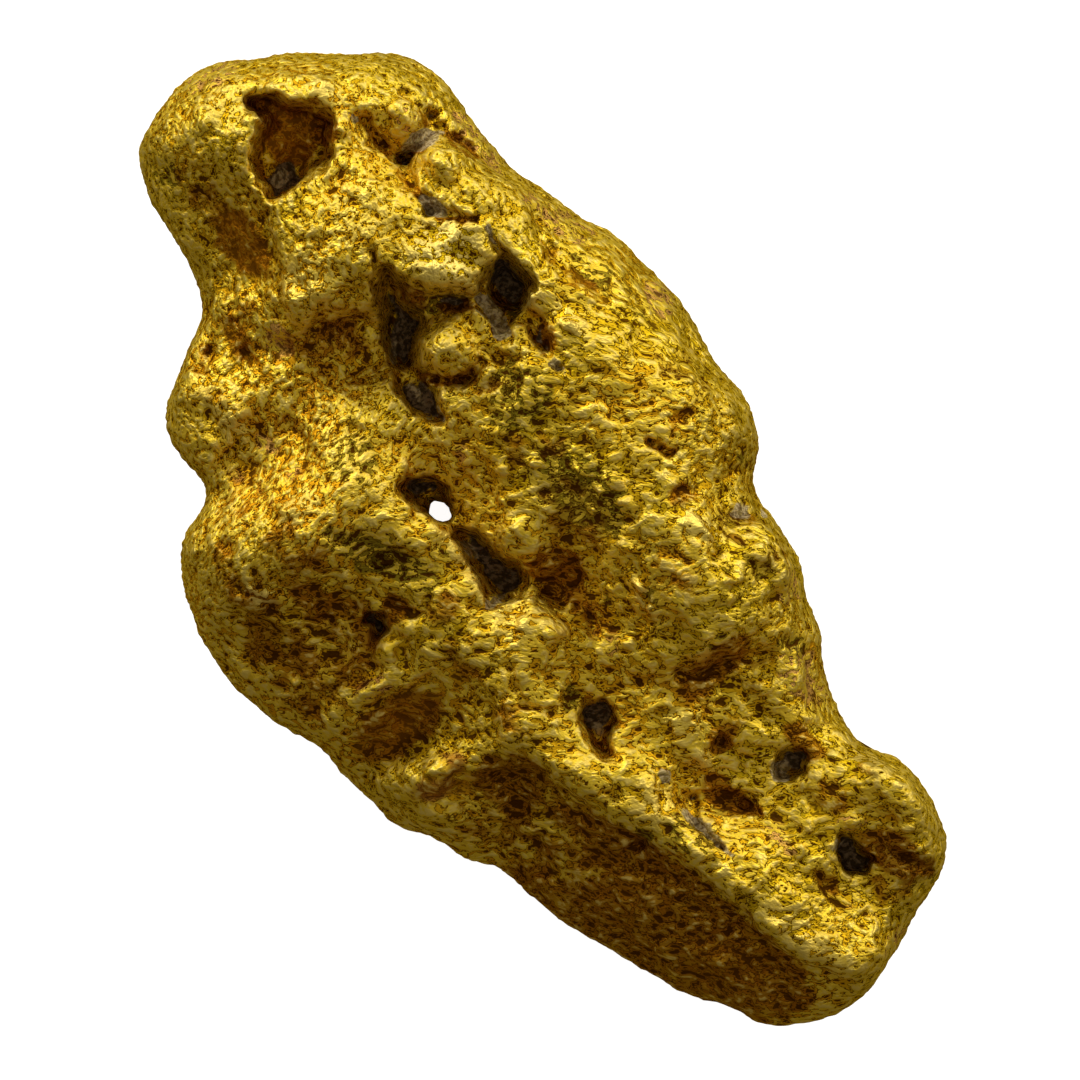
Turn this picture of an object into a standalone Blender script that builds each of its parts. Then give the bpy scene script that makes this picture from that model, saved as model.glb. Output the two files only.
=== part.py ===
"""A natural gold nugget, water-worn and pitted, lying on its broad side.

Lengths in the tables are millimetres. X runs along the nugget from its cratered head to its ridged
tail, Y across it, and Z up from the surface it rests on. The nugget is one grown piece: a skin is
stretched from its outline over the heights of its crests and valleys, lumps are fused to that skin,
and the pits, the crevices and the one hole right through are cut out of it.
"""

import math

import bmesh
import bpy
import numpy as np
from mathutils import Matrix, Vector

MM = 0.001

# The outline seen from above, as points of its far side and of its near side.
LEFT_END = (-14.2, 0.4)
RIGHT_END = (14.2, 0.9)
SMOOTHED_AWAY = 0.07
FAR_SIDE = (
    (-14.1, 1.2), (-13.6, 2.0), (-13.2, 2.8), (-12.6, 3.65), (-12.1, 4.4), (-11.7, 5.0),
    (-11.2, 5.35), (-10.2, 5.55), (-9.2, 5.55), (-8.4, 5.65), (-8.05, 5.55), (-7.2, 5.95),
    (-6.0, 6.35), (-5.0, 6.85), (-4.0, 7.1), (-3.0, 7.3), (-2.0, 7.3), (-1.2, 7.18),
    (-0.4, 7.28), (0.4, 7.32), (1.1, 7.1), (1.65, 6.75), (1.8, 6.3), (2.4, 6.15),
    (3.5, 6.22), (4.4, 6.15), (5.0, 5.8), (6.0, 5.62), (6.6, 5.25), (7.3, 4.95),
    (8.3, 4.78), (9.0, 4.95), (9.6, 5.35), (10.4, 5.58), (11.4, 5.55), (12.1, 5.3),
    (12.6, 4.9), (13.0, 4.1), (13.3, 3.4), (13.75, 2.6), (14.05, 1.9),
)
NEAR_SIDE = (
    (-14.1, -0.1), (-13.85, -0.9), (-13.5, -1.65), (-12.7, -2.02), (-12.0, -2.2), (-10.8, -2.2),
    (-9.9, -2.3), (-9.3, -2.45), (-8.9, -2.95), (-8.45, -3.6), (-8.1, -4.25), (-7.4, -4.85),
    (-6.5, -5.1), (-5.7, -4.95), (-5.25, -5.0), (-5.1, -5.6), (-4.6, -6.3), (-3.7, -6.85),
    (-2.6, -7.18), (-1.4, -7.25), (-0.2, -7.02), (0.8, -6.6), (1.5, -6.25), (2.6, -6.12),
    (3.6, -5.9), (4.4, -5.65), (5.0, -5.15), (5.7, -4.9), (6.4, -4.3), (7.2, -4.0),
    (8.0, -3.85), (9.0, -3.5), (10.0, -3.0), (11.0, -2.5), (12.0, -2.0), (12.6, -1.35),
    (13.3, -1.1), (13.7, -0.5), (14.05, 0.15),
)

# The widest line of the nugget at points along the outline: x, y, its height above the ground, and how
# far in from it the upper side takes to round over.
RIM = (
    (-14.0, 0.5, 2.9, 0.8), (-12.0, 5.0, 3.1, 1.3), (-8.0, 5.5, 3.4, 1.4), (-3.0, 7.2, 3.3, 1.6),
    (1.0, 7.1, 3.2, 1.3), (4.0, 6.1, 3.3, 1.4), (8.3, 4.7, 3.1, 1.2), (11.5, 5.5, 3.0, 1.2),
    (14.0, 1.0, 2.8, 1.0), (12.0, -2.0, 2.4, 1.2), (8.0, -3.8, 2.4, 1.2), (4.0, -5.7, 2.6, 0.9),
    (-1.5, -7.1, 2.7, 1.1), (-5.5, -5.0, 2.7, 0.5), (-8.6, -3.3, 2.7, 0.5), (-12.0, -2.1, 2.7, 0.7),
)
UNDER_EDGE = 2.4

# How the rim's given heights blend between their places.
RIM_BLUR = 0.5
RIM_FALL = 1.5

# Heights along the crests and valleys of the upper side, as x, y, z.
HEAD_RIM = (
    (-13.4, 2.0, 4.7), (-13.3, 0.8, 5.0), (-12.7, -0.1, 5.5), (-11.6, 0.1, 5.7), (-10.4, 0.1, 5.8),
    (-12.6, 2.4, 5.6), (-11.9, 3.3, 5.8), (-11.0, 4.0, 5.7), (-11.2, 4.8, 5.2), (-10.2, 3.0, 5.9),
    (-10.0, 5.0, 5.1), (-13.0, -1.1, 4.5),
)
BULGE = (
    (-10.0, 1.6, 6.2), (-9.0, 1.4, 6.7), (-8.0, 1.4, 7.0), (-9.2, 2.9, 6.5), (-7.4, 2.9, 6.8),
    (-8.6, 0.2, 6.6), (-7.3, 0.9, 6.7), (-9.2, -0.3, 5.9), (-6.3, 3.2, 7.0), (-6.8, 2.0, 6.8),
)
HEAD_VALLEY = (
    (-11.6, -0.9, 4.7), (-10.4, -0.9, 4.5), (-9.3, -1.1, 4.6), (-8.2, -0.9, 5.9), (-7.2, -1.2, 5.6),
    (-10.6, -1.7, 4.2), (-8.9, -1.9, 4.5), (-8.2, -2.5, 4.3), (-7.2, -0.3, 6.0),
)
SHOULDER = (
    (-9.5, 3.6, 5.6), (-8.8, 4.4, 6.4), (-7.5, 4.8, 6.5), (-6.2, 5.2, 6.4), (-4.8, 5.6, 6.3),
    (-4.2, 6.5, 5.7), (-2.5, 6.5, 5.9), (-8.2, 5.2, 5.6), (-9.2, 5.2, 5.0), (-2.6, 5.6, 6.6),
)
MIDDLE_CREST = (
    (-4.9, 4.6, 6.9), (-3.6, 4.6, 7.1), (-2.0, 4.6, 7.2), (-0.4, 4.0, 7.3), (1.0, 3.8, 7.3),
    (2.4, 4.3, 7.4), (3.8, 4.2, 7.2), (4.7, 3.3, 6.8),
)
MIDDLE_SLOPE = (
    (-4.5, 3.2, 6.3), (-4.6, 1.9, 6.3), (-3.4, 2.5, 6.7), (-1.6, 2.6, 6.8), (0.4, 2.3, 6.7),
    (2.4, 2.4, 6.8), (3.9, 2.2, 6.6), (-2.6, 0.9, 6.2), (-1.0, 0.9, 6.2), (0.1, 0.8, 6.2),
    (1.4, 1.0, 5.7), (2.7, 1.0, 5.9), (4.2, 0.9, 6.1), (4.9, 2.5, 6.5), (5.6, 3.5, 5.9),
)
FAR_SLOPE = (
    (-0.4, 5.2, 7.1), (1.1, 5.2, 6.8), (2.4, 5.5, 6.3), (3.8, 5.3, 6.5), (5.2, 5.0, 6.1),
    (0.2, 6.4, 6.4), (-1.2, 6.4, 6.5), (1.3, 6.2, 6.1), (6.1, 4.3, 5.8), (6.9, 4.4, 5.6),
)
CREVICE_FLOOR = (
    (-5.8, 1.2, 5.1), (-6.1, 0.1, 5.1), (-6.2, -1.0, 5.2), (-7.2, -2.1, 4.9), (-5.0, 0.1, 5.6),
    (-3.7, 0.1, 5.9), (-2.5, -0.4, 5.6), (-1.2, -0.4, 5.6), (0.3, -0.2, 5.4),
)
NEAR_LOBE = (
    (-5.2, -1.3, 5.9), (-4.0, -1.4, 6.4), (-2.6, -1.4, 6.6), (-1.0, -1.1, 6.4), (0.3, -1.0, 6.2),
    (-5.7, -2.8, 4.8), (-4.4, -3.0, 5.8), (-3.3, -3.0, 6.7), (-1.6, -2.6, 6.1), (-5.2, -4.2, 4.6),
    (-4.2, -4.6, 5.9), (-3.3, -4.6, 6.5), (-1.6, -4.4, 5.4), (-3.6, -5.9, 5.4), (-2.0, -5.9, 4.8),
    (-0.4, -5.4, 4.5), (-0.2, -2.3, 6.0), (0.0, -3.9, 5.0), (0.9, -4.2, 5.4), (1.0, -5.4, 4.8),
    (0.5, -3.0, 5.7), (-4.4, -5.6, 5.1),
)
LEFT_LUMP = (
    (-7.8, -3.2, 4.5), (-7.0, -3.3, 4.9), (-6.4, -2.2, 5.2), (-7.2, -4.1, 4.5), (-6.1, -4.1, 4.7),
    (-6.5, -4.8, 4.3),
)
MOUND = (
    (1.5, -0.3, 6.2), (2.4, -0.4, 6.6), (3.1, -1.2, 6.6), (1.6, -1.8, 6.3), (3.9, -0.4, 6.0),
)
NEAR_HOLLOWS = (
    (1.7, -3.3, 5.3), (1.8, -4.6, 4.7), (2.6, -4.4, 4.3), (2.6, -3.2, 5.0), (3.2, -2.5, 5.9),
    (3.3, -3.8, 5.1), (3.9, -3.9, 5.5), (3.4, -5.2, 4.4), (4.1, -4.9, 4.8), (5.2, -2.9, 4.6),
    (5.5, -4.1, 3.7), (2.6, -5.5, 3.9),
)
TAIL_RIDGE = (
    (4.0, -1.9, 6.5), (5.4, -1.3, 6.6), (6.8, -0.5, 6.6), (8.2, -0.1, 6.5), (9.6, 0.4, 6.3),
    (11.0, 0.7, 6.1), (12.3, 1.1, 5.8), (13.3, 1.7, 5.6),
)
TAIL_FLANK = (
    (6.4, -2.6, 4.7), (8.0, -1.6, 5.0), (8.2, -2.8, 3.9), (9.8, -1.1, 4.9), (10.2, -2.1, 3.9),
    (11.6, -0.4, 4.8), (12.0, -1.3, 3.8), (13.1, 0.3, 4.5),
)
TAIL_DISH = (
    (5.3, 2.6, 5.9), (6.3, 1.6, 6.1), (6.6, 3.2, 5.8), (5.3, 0.4, 5.9), (7.4, 0.7, 5.7),
    (8.2, 1.4, 5.3), (8.4, 2.9, 5.4), (9.1, 2.1, 5.5), (10.0, 1.8, 5.9), (9.4, 3.6, 5.5),
    (10.9, 2.4, 5.5), (11.4, 3.4, 4.9), (12.0, 2.2, 5.2),
)
TAIL_RIM = (
    (8.3, 4.2, 5.3), (9.4, 4.7, 5.5), (10.4, 4.8, 5.8), (11.5, 4.6, 5.3), (12.3, 3.8, 4.9),
    (12.9, 2.8, 5.0),
)
UPPER_HEIGHTS = (
    HEAD_RIM + BULGE + HEAD_VALLEY + SHOULDER + MIDDLE_CREST + MIDDLE_SLOPE + FAR_SLOPE
    + CREVICE_FLOOR + NEAR_LOBE + LEFT_LUMP + MOUND + NEAR_HOLLOWS + TAIL_RIDGE + TAIL_FLANK
    + TAIL_DISH + TAIL_RIM
)

# The worn feet that the nugget rests on, as x, y and half width of the flat.
FEET = ((-9.0, 1.5, 1.2), (8.2, 1.4, 1.3), (0.6, -3.2, 1.1), (1.0, 4.0, 1.1))
FOOT_WEAR = 0.15
GROUND_SIZE = (40.0, 30.0, 4.0)

# Heights between the feet on the underside, as x, y, z.
UNDER_HEIGHTS = (
    (-12.6, 0.6, 1.0), (-11.4, 3.4, 1.2), (-11.2, -0.9, 1.0), (-7.2, 4.2, 0.8), (-6.6, -0.6, 1.2),
    (-7.2, -3.2, 1.0), (-5.4, 2.0, 0.8), (-4.4, 4.8, 0.6), (-3.2, 0.4, 1.3), (-3.6, -2.2, 0.8),
    (-3.2, -4.8, 0.5), (-1.0, 0.6, 0.9), (-1.4, 5.8, 1.0), (2.0, 0.6, 0.8), (3.6, -1.4, 1.2),
    (3.6, -4.2, 0.8), (4.6, 3.0, 0.5), (5.4, 4.6, 1.2), (5.4, 0.4, 0.8), (6.2, -2.6, 0.5),
    (8.6, -1.8, 0.9), (9.6, 3.8, 0.8), (11.0, 0.2, 0.9), (11.6, 2.8, 0.6), (12.8, 1.0, 1.2),
)

# Lumps fused to the skin, as centre, half sizes and turn about Z in degrees.
UPPER_LUMPS = (
    ((-8.3, 1.4, 5.3), (1.9, 1.7, 1.75), -15),
    ((-8.75, 4.35, 5.5), (0.85, 0.72, 1.1), 20),
    ((-7.4, 4.85, 5.4), (1.3, 0.62, 1.15), 22),
    ((-6.75, 3.1, 6.2), (1.0, 0.85, 0.85), 12),
    ((-4.95, 2.0, 5.55), (0.78, 0.9, 1.15), 0),
    ((-10.6, 4.25, 4.9), (0.9, 0.55, 0.85), 10),
    ((-0.05, 0.75, 5.75), (0.85, 0.75, 0.65), 0),
    ((-7.4, -3.85, 4.15), (0.75, 0.55, 0.65), 0),
    ((-8.25, -3.45, 3.75), (0.35, 0.3, 0.4), 0),
    ((-6.6, -3.3, 4.6), (0.6, 0.7, 0.55), 0),
    ((-8.95, -1.95, 3.95), (0.4, 0.35, 0.45), 0),
    ((5.95, -3.15, 4.15), (0.42, 0.33, 0.4), 25),
    ((3.95, -3.95, 4.8), (0.55, 0.8, 0.7), -15),
    ((-2.85, -5.55, 4.9), (0.5, 0.5, 0.5), 0),
    ((2.2, -0.25, 5.9), (0.9, 0.75, 0.85), 0),
    ((10.35, 4.85, 4.9), (1.1, 0.6, 1.05), 10),
    ((13.15, 2.0, 4.7), (0.75, 0.8, 0.9), 0),
    ((0.1, 6.4, 5.1), (1.3, 0.7, 0.9), -5),
    ((3.6, 5.45, 5.6), (1.1, 0.6, 1.05), 0),
)
SIDE_LUMPS = (
    ((13.35, 0.9, 2.6), (0.7, 0.9, 0.9), 0),
    ((12.4, -0.95, 3.0), (0.7, 0.5, 0.9), 30),
    ((10.3, -2.2, 2.2), (1.2, 0.6, 0.9), 27),
    ((7.6, -3.2, 2.7), (1.3, 0.6, 1.0), 22),
    ((4.2, -5.05, 2.6), (0.9, 0.6, 1.1), 20),
    ((2.2, -5.4, 2.1), (1.1, 0.65, 0.9), 8),
    ((-1.2, -6.35, 2.9), (1.6, 0.8, 1.2), 0),
    ((-3.9, -5.75, 2.1), (1.0, 0.8, 1.0), -30),
    ((-6.9, -4.15, 2.2), (0.9, 0.75, 0.9), -10),
    ((-10.8, -1.4, 2.3), (1.4, 0.7, 0.9), 3),
    ((-13.2, -0.6, 2.3), (0.7, 0.9, 0.9), 30),
    ((-13.0, 2.0, 3.3), (0.5, 0.9, 0.9), -35),
    ((-11.0, 4.55, 2.4), (1.0, 0.8, 0.9), 10),
    ((-8.6, 4.8, 3.3), (1.2, 0.75, 1.0), 8),
    ((-5.4, 5.65, 2.7), (1.3, 0.8, 1.0), 24),
    ((-2.6, 6.3, 3.5), (1.3, 0.9, 1.1), 5),
    ((0.3, 6.4, 2.6), (1.1, 0.85, 1.0), 0),
    ((3.4, 5.4, 3.0), (1.3, 0.75, 0.9), 0),
    ((6.2, 4.5, 2.4), (1.1, 0.75, 0.9), -25),
    ((8.6, 4.0, 3.3), (1.0, 0.7, 0.8), 0),
    ((11.2, 4.7, 2.6), (1.2, 0.8, 1.0), 0),
    ((12.75, 3.3, 2.2), (0.55, 0.9, 0.9), 20),
)
UNDER_LUMPS = (
    ((-6.4, 3.2, 1.6), (2.2, 1.5, 1.25), 15),
    ((-3.4, -4.4, 1.7), (1.7, 1.5, 1.4), -10),
    ((4.8, 2.8, 1.6), (2.0, 1.3, 1.3), 5),
    ((6.2, -2.4, 1.6), (1.9, 1.0, 1.25), 25),
    ((11.6, 2.6, 1.7), (1.3, 1.1, 1.25), 0),
    ((-12.2, 0.8, 1.9), (1.2, 1.4, 1.25), 0),
)

# Mouths of the steep hollows, as the points of the mouth, then the height of the floor, the place it
# narrows towards and how much of the mouth's width it keeps.
CRATER = (
    ((-13.0, 1.25), (-12.9, 1.55), (-12.5, 1.85), (-11.95, 2.05), (-11.8, 2.55), (-11.35, 2.85),
     (-11.05, 2.55), (-10.6, 2.1), (-10.42, 1.3), (-10.42, 0.5), (-10.9, 0.38), (-11.55, 0.42),
     (-11.95, 1.0), (-11.95, 1.4), (-12.4, 1.15)),
    4.1, (-10.95, 1.05), 0.5,
)
TONGUE_HOLE = (
    ((-6.75, 4.26), (-5.9, 4.34), (-5.15, 4.48), (-4.88, 4.15), (-4.7, 3.8), (-5.1, 3.55),
     (-5.6, 3.45), (-5.85, 3.8), (-6.1, 4.05)),
    4.6, (-5.45, 3.9), 0.75,
)
TONGUE_LEDGE = (
    ((-5.0, 4.1), (-4.6, 3.8), (-4.35, 3.4), (-4.6, 3.02), (-5.3, 3.02), (-5.7, 3.45)),
    5.8, (-4.95, 3.45), 0.7,
)
TONGUE_ARM = (
    ((-4.85, 4.35), (-4.3, 4.4), (-3.7, 4.02), (-3.0, 4.15), (-3.05, 3.82), (-3.9, 3.62),
     (-4.5, 3.65), (-4.8, 3.9)),
    6.1, (-4.2, 3.95), 0.5,
)
KNOB_CREVICE = (
    ((-7.3, 1.55), (-6.5, 1.55), (-6.12, 1.95), (-6.0, 2.75), (-5.72, 2.95), (-5.85, 2.0),
     (-5.7, 1.5), (-5.15, 0.95), (-5.15, 0.5), (-6.0, 0.75), (-6.9, 1.25)),
    4.0, (-5.8, 1.15), 0.6,
)
KNOB_LEDGE = (
    ((-5.4, 1.05), (-4.9, 0.95), (-4.4, 1.1), (-4.15, 0.92), (-3.6, 0.95), (-3.55, 0.65),
     (-3.85, 0.35), (-4.5, 0.25), (-5.2, 0.45)),
    5.0, (-4.5, 0.68), 0.75,
)
GAP_BEFORE_HOLE = (
    ((-2.88, -0.72), (-2.6, -0.38), (-2.35, -0.12), (-1.85, -0.15), (-1.75, -0.6), (-2.1, -0.9),
     (-2.6, -0.95)),
    4.2, (-2.2, -0.58), 0.8,
)
GAP_AFTER_HOLE = (
    ((-1.95, -0.1), (-1.2, -0.12), (-0.6, -0.02), (-0.5, -0.32), (-1.2, -0.42), (-1.6, -0.3)),
    5.3, (-1.3, -0.25), 0.6,
)
MIDDLE_GAP = (
    ((-0.72, -0.02), (-0.3, 0.12), (0.25, 0.06), (0.6, 0.46), (0.92, 0.25), (1.02, -0.1),
     (0.9, -0.38), (0.3, -0.38), (-0.5, -0.32)),
    4.3, (0.3, -0.02), 0.8,
)
MIDDLE_GAP_LEDGE = (
    ((0.5, -0.3), (0.95, -0.25), (1.08, -0.8), (0.85, -0.95), (0.68, -0.6)),
    5.6, (0.85, -0.55), 0.6,
)
LOBE_PIT = (
    ((-0.74, -3.35), (-0.45, -3.12), (0.02, -3.15), (0.1, -3.8), (-0.2, -3.68), (-0.5, -3.52)),
    4.9, (-0.25, -3.4), 0.7,
)
RIDGE_FOOT_PIT = (
    ((4.18, -0.1), (4.35, 0.12), (4.75, 0.3), (5.1, 0.1), (5.2, -0.2), (5.7, -0.34), (5.72, -0.5),
     (5.1, -0.6), (4.3, -0.45)),
    4.9, (4.7, -0.1), 0.65,
)
DISH_PITS = (
    (((6.58, 2.1), (6.75, 2.32), (7.1, 2.22), (7.22, 1.9), (7.1, 1.62), (6.75, 1.75)),
     5.3, (6.9, 1.95), 0.7),
    (((7.82, 3.2), (8.1, 3.62), (8.62, 3.62), (8.85, 3.2), (8.65, 2.72), (8.2, 2.58), (7.95, 2.9)),
     4.6, (8.35, 3.15), 0.65),
    (((10.42, 3.2), (10.6, 3.5), (11.1, 3.55), (11.45, 3.68), (11.7, 3.4), (11.6, 2.98),
      (11.1, 2.8), (10.65, 2.92)),
     4.2, (11.05, 3.2), 0.65),
    (((7.1, 0.95), (7.6, 0.95), (8.0, 0.7), (8.5, 0.55), (9.2, 0.68), (9.2, 0.48), (8.2, 0.32),
      (7.4, 0.42)),
     5.3, (7.9, 0.6), 0.5),
)
STEEP_HOLLOWS = (
    CRATER, TONGUE_HOLE, TONGUE_LEDGE, TONGUE_ARM, KNOB_CREVICE, KNOB_LEDGE, GAP_BEFORE_HOLE,
    GAP_AFTER_HOLE, MIDDLE_GAP, MIDDLE_GAP_LEDGE, LOBE_PIT, RIDGE_FOOT_PIT, *DISH_PITS,
)
OPEN_ABOVE = 8.5
NARROWING_HEIGHT = 1.0

# Winding hollows, each a chain of x, y, z and radius.
CRATER_UNDERCUT = (
    ((-11.3, 1.9, 5.0, 0.5), (-11.2, 1.5, 4.6, 0.6), (-10.95, 1.0, 4.4, 0.55)),
)
HEAD_CREVICES = (
    ((-11.25, 3.1, 6.0, 0.15), (-10.6, 3.3, 5.8, 0.2), (-9.9, 3.45, 5.5, 0.26)),
    ((-9.85, 3.42, 5.6, 0.2), (-9.45, 3.6, 5.6, 0.3), (-9.35, 3.6, 4.9, 0.3)),
    ((-10.05, 5.2, 5.3, 0.13), (-9.98, 4.85, 5.2, 0.24), (-9.95, 4.8, 4.7, 0.22)),
    ((-9.8, 4.7, 5.3, 0.2), (-9.5, 4.1, 5.6, 0.22)),
    ((-8.8, 3.42, 6.4, 0.12), (-8.3, 3.45, 6.5, 0.18), (-7.9, 3.65, 6.7, 0.15),
     (-7.3, 4.1, 6.9, 0.12)),
)
KNOB_TAIL = (
    ((-8.0, 1.62, 7.0, 0.1), (-7.5, 1.58, 6.85, 0.16), (-7.0, 1.5, 6.5, 0.25)),
)
THROUGH_HOLE = (
    ((-1.76, -0.53, 6.2, 0.24), (-1.76, -0.53, 4.4, 0.25), (-1.78, -0.56, 2.6, 0.34),
     (-1.8, -0.6, 0.4, 0.75)),
    ((-1.6, -0.47, 6.2, 0.2), (-1.6, -0.47, 4.4, 0.21), (-1.62, -0.5, 2.6, 0.3),
     (-1.5, -0.6, 0.2, 0.7)),
)
LOBE_CREVICES = (
    ((0.1, -3.9, 5.6, 0.14), (0.5, -4.1, 5.2, 0.2)),
    ((-7.75, -2.32, 5.2, 0.14), (-7.4, -2.3, 5.1, 0.16), (-7.3, -2.3, 4.8, 0.14)),
    ((-8.45, -2.85, 4.4, 0.13), (-8.15, -3.0, 4.5, 0.17), (-7.95, -3.3, 4.5, 0.14)),
)
MIDDLE_PITS = (
    ((-0.4, 4.72, 7.2, 0.14), (-0.1, 4.88, 7.0, 0.18), (0.2, 5.05, 7.0, 0.12)),
    ((2.5, 5.75, 6.5, 0.22), (2.6, 5.6, 6.0, 0.22), (2.3, 5.6, 6.0, 0.18)),
    ((5.75, 4.95, 6.2, 0.18), (5.85, 4.7, 5.9, 0.2)),
    ((2.2, 1.0, 6.1, 0.12), (2.7, 1.05, 6.0, 0.18), (3.0, 0.95, 6.1, 0.12)),
)
TAIL_PITS = (
    ((8.6, 1.7, 5.7, 0.16), (8.9, 1.75, 5.5, 0.2)),
    ((7.85, -0.85, 6.0, 0.22), (7.95, -0.95, 5.5, 0.2)),
)
UNDER_PITS = (
    ((-10.6, 3.2, 0.9, 0.4), (-10.4, 3.0, 1.6, 0.35)),
    ((-5.0, -0.9, 0.8, 0.45), (-4.6, -0.7, 1.7, 0.4), (-3.9, -0.8, 1.3, 0.3)),
    ((-2.6, 2.6, 0.7, 0.3), (-2.0, 2.9, 1.2, 0.34), (-1.2, 2.7, 1.0, 0.25)),
    ((3.2, -0.9, 0.8, 0.4), (3.6, -0.7, 1.6, 0.36)),
    ((10.6, 0.4, 0.8, 0.35), (10.9, 0.6, 1.5, 0.3)),
)
WINDING_HOLLOWS = (
    CRATER_UNDERCUT + HEAD_CREVICES + KNOB_TAIL + THROUGH_HOLE + LOBE_CREVICES + MIDDLE_PITS
    + TAIL_PITS + UNDER_PITS
)
BEADS_PER_RADIUS = 2.0

# Stands in for a length of nothing where it would be divided by.
TINY = 1e-12

# Fineness of the skin and of the cutter.
RINGS = 150
RING_POINTS = 96
CURVE_STEPS = 8
LUMP_FINENESS = 3
BEAD_FINENESS = 2
SKIN_CELL = 0.2
HOLLOW_CELL = 0.12
CUT_CELL = 0.13
SMOOTHING = 7
WAVE_SIZE = 1.2
WAVE_DEPTH = 0.2
WAVE_DETAIL = 2
KEPT_FACES = 0.062

GOLD = (0.62, 0.40, 0.055, 1.0)
GOLD_ROUGHNESS = 0.38


def clear_scene():
    for found in list(bpy.data.objects):
        bpy.data.objects.remove(found, do_unlink=True)


def smooth_line(points, steps):
    """Points of a Catmull-Rom curve through the given ones."""
    knots = np.array([points[0], *points, points[-1]], float)
    line = []
    for before, start, end, after in zip(knots, knots[1:], knots[2:], knots[3:]):
        for t in np.arange(steps) / steps:
            line.append(
                0.5 * (2 * start + (end - before) * t
                       + (2 * before - 5 * start + 4 * end - after) * t ** 2
                       + (3 * start - before - 3 * end + after) * t ** 3)
            )
    line.append(knots[-1])
    return np.array(line)


class Surface:
    """The smooth surface that passes through spot heights: a thin plate bent over them."""

    def __init__(self, spots):
        spots = np.array(spots, float)
        self.places = spots[:, :2]
        count = len(spots)
        flat = np.column_stack([np.ones(count), self.places])
        system = np.zeros((count + 3, count + 3))
        system[:count, :count] = self.bending(self.places)
        system[:count, count:] = flat
        system[count:, :count] = flat.T
        self.weights = np.linalg.solve(system, np.append(spots[:, 2], [0, 0, 0]))

    def bending(self, points):
        square = ((points[:, None] - self.places[None]) ** 2).sum(axis=2)
        return 0.5 * square * np.log(np.maximum(square, TINY))

    def height(self, points):
        flat = np.column_stack([np.ones(len(points)), points])
        return np.hstack([self.bending(points), flat]) @ self.weights


def distance_to_line(points, line):
    """How far each point lies from the nearest stretch of a polyline."""
    starts, along = line[:-1], np.diff(line, axis=0)
    reach = np.maximum((along ** 2).sum(axis=1), TINY)
    offset = points[:, None] - starts[None]
    share = np.clip((offset * along).sum(axis=2) / reach, 0, 1)
    nearest = offset - share[..., None] * along
    return np.sqrt((nearest ** 2).sum(axis=2)).min(axis=1)


def rim_at(points):
    """The widest line's height and rounding near each point, blended between the given ones."""
    rim = np.array(RIM)
    nearness = 1 / (((points[:, None] - rim[None, :, :2]) ** 2).sum(axis=2) + RIM_BLUR) ** RIM_FALL
    return (nearness @ rim[:, 2:] / nearness.sum(axis=1, keepdims=True)).T


def round_edge(distance, width):
    """0 at the outline and 1 from the given distance inwards, along a quarter circle."""
    return np.sqrt(1 - (1 - np.minimum(distance / width, 1)) ** 2)


def skin_points(directions):
    """Where each point of a unit sphere with its poles on X lands on the nugget's skin."""
    far = smooth_line((LEFT_END, *FAR_SIDE, RIGHT_END), CURVE_STEPS)
    near = smooth_line((LEFT_END, *NEAR_SIDE, RIGHT_END), CURVE_STEPS)
    middle_x = (LEFT_END[0] + RIGHT_END[0]) / 2
    half_length = (RIGHT_END[0] - LEFT_END[0]) / 2
    x = middle_x + half_length * directions[:, 0]
    ring = np.sqrt(np.maximum(1 - directions[:, 0] ** 2, TINY))
    across = np.clip(directions[:, 1] / ring, -1, 1)
    far_y = np.interp(x, far[:, 0], far[:, 1])
    near_y = np.interp(x, near[:, 0], near[:, 1])
    y = (far_y + near_y) / 2 + (far_y - near_y) / 2 * across
    places = np.column_stack([x, y])
    distance = distance_to_line(places, np.vstack([far, near[::-1]]))
    rim, upper_edge = rim_at(places)
    top = rim + (Surface(UPPER_HEIGHTS).height(places) - rim) * round_edge(distance, upper_edge)
    below = Surface(UNDER_HEIGHTS + foot_heights()).height(places)
    under = rim + (below - rim) * round_edge(distance, UNDER_EDGE)
    z = np.where(directions[:, 2] > 0, top, under)
    outwards = np.column_stack([directions[:, 0], across])
    return np.column_stack([places + SMOOTHED_AWAY * outwards, z])


def add_skin(bm):
    made = bmesh.ops.create_uvsphere(bm, u_segments=RING_POINTS, v_segments=RINGS, radius=1)
    turn = Matrix.Rotation(math.pi / 2, 4, "Y")
    bmesh.ops.transform(bm, matrix=turn, verts=made["verts"])
    directions = np.array([vert.co for vert in made["verts"]])
    for vert, place in zip(made["verts"], skin_points(directions)):
        vert.co = Vector(place) * MM


def add_lump(bm, centre, half_sizes, turn, fineness=LUMP_FINENESS):
    place = Matrix.Translation(Vector(centre) * MM)
    turned = Matrix.Rotation(math.radians(turn), 4, "Z")
    sized = Matrix.Diagonal((*(size * MM for size in half_sizes), 1))
    bmesh.ops.create_icosphere(
        bm, subdivisions=fineness, radius=1, matrix=place @ turned @ sized
    )


def foot_heights():
    """Spots a little below the ground around the middle of each foot, so that the ground wears it flat."""
    spots = []
    for x, y, half_width in FEET:
        spots.append((x, y, -FOOT_WEAR))
        for turn in range(4):
            angle = turn * math.pi / 2
            spots.append((x + half_width * math.cos(angle), y + half_width * math.sin(angle), 0.0))
    return tuple(spots)


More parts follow.
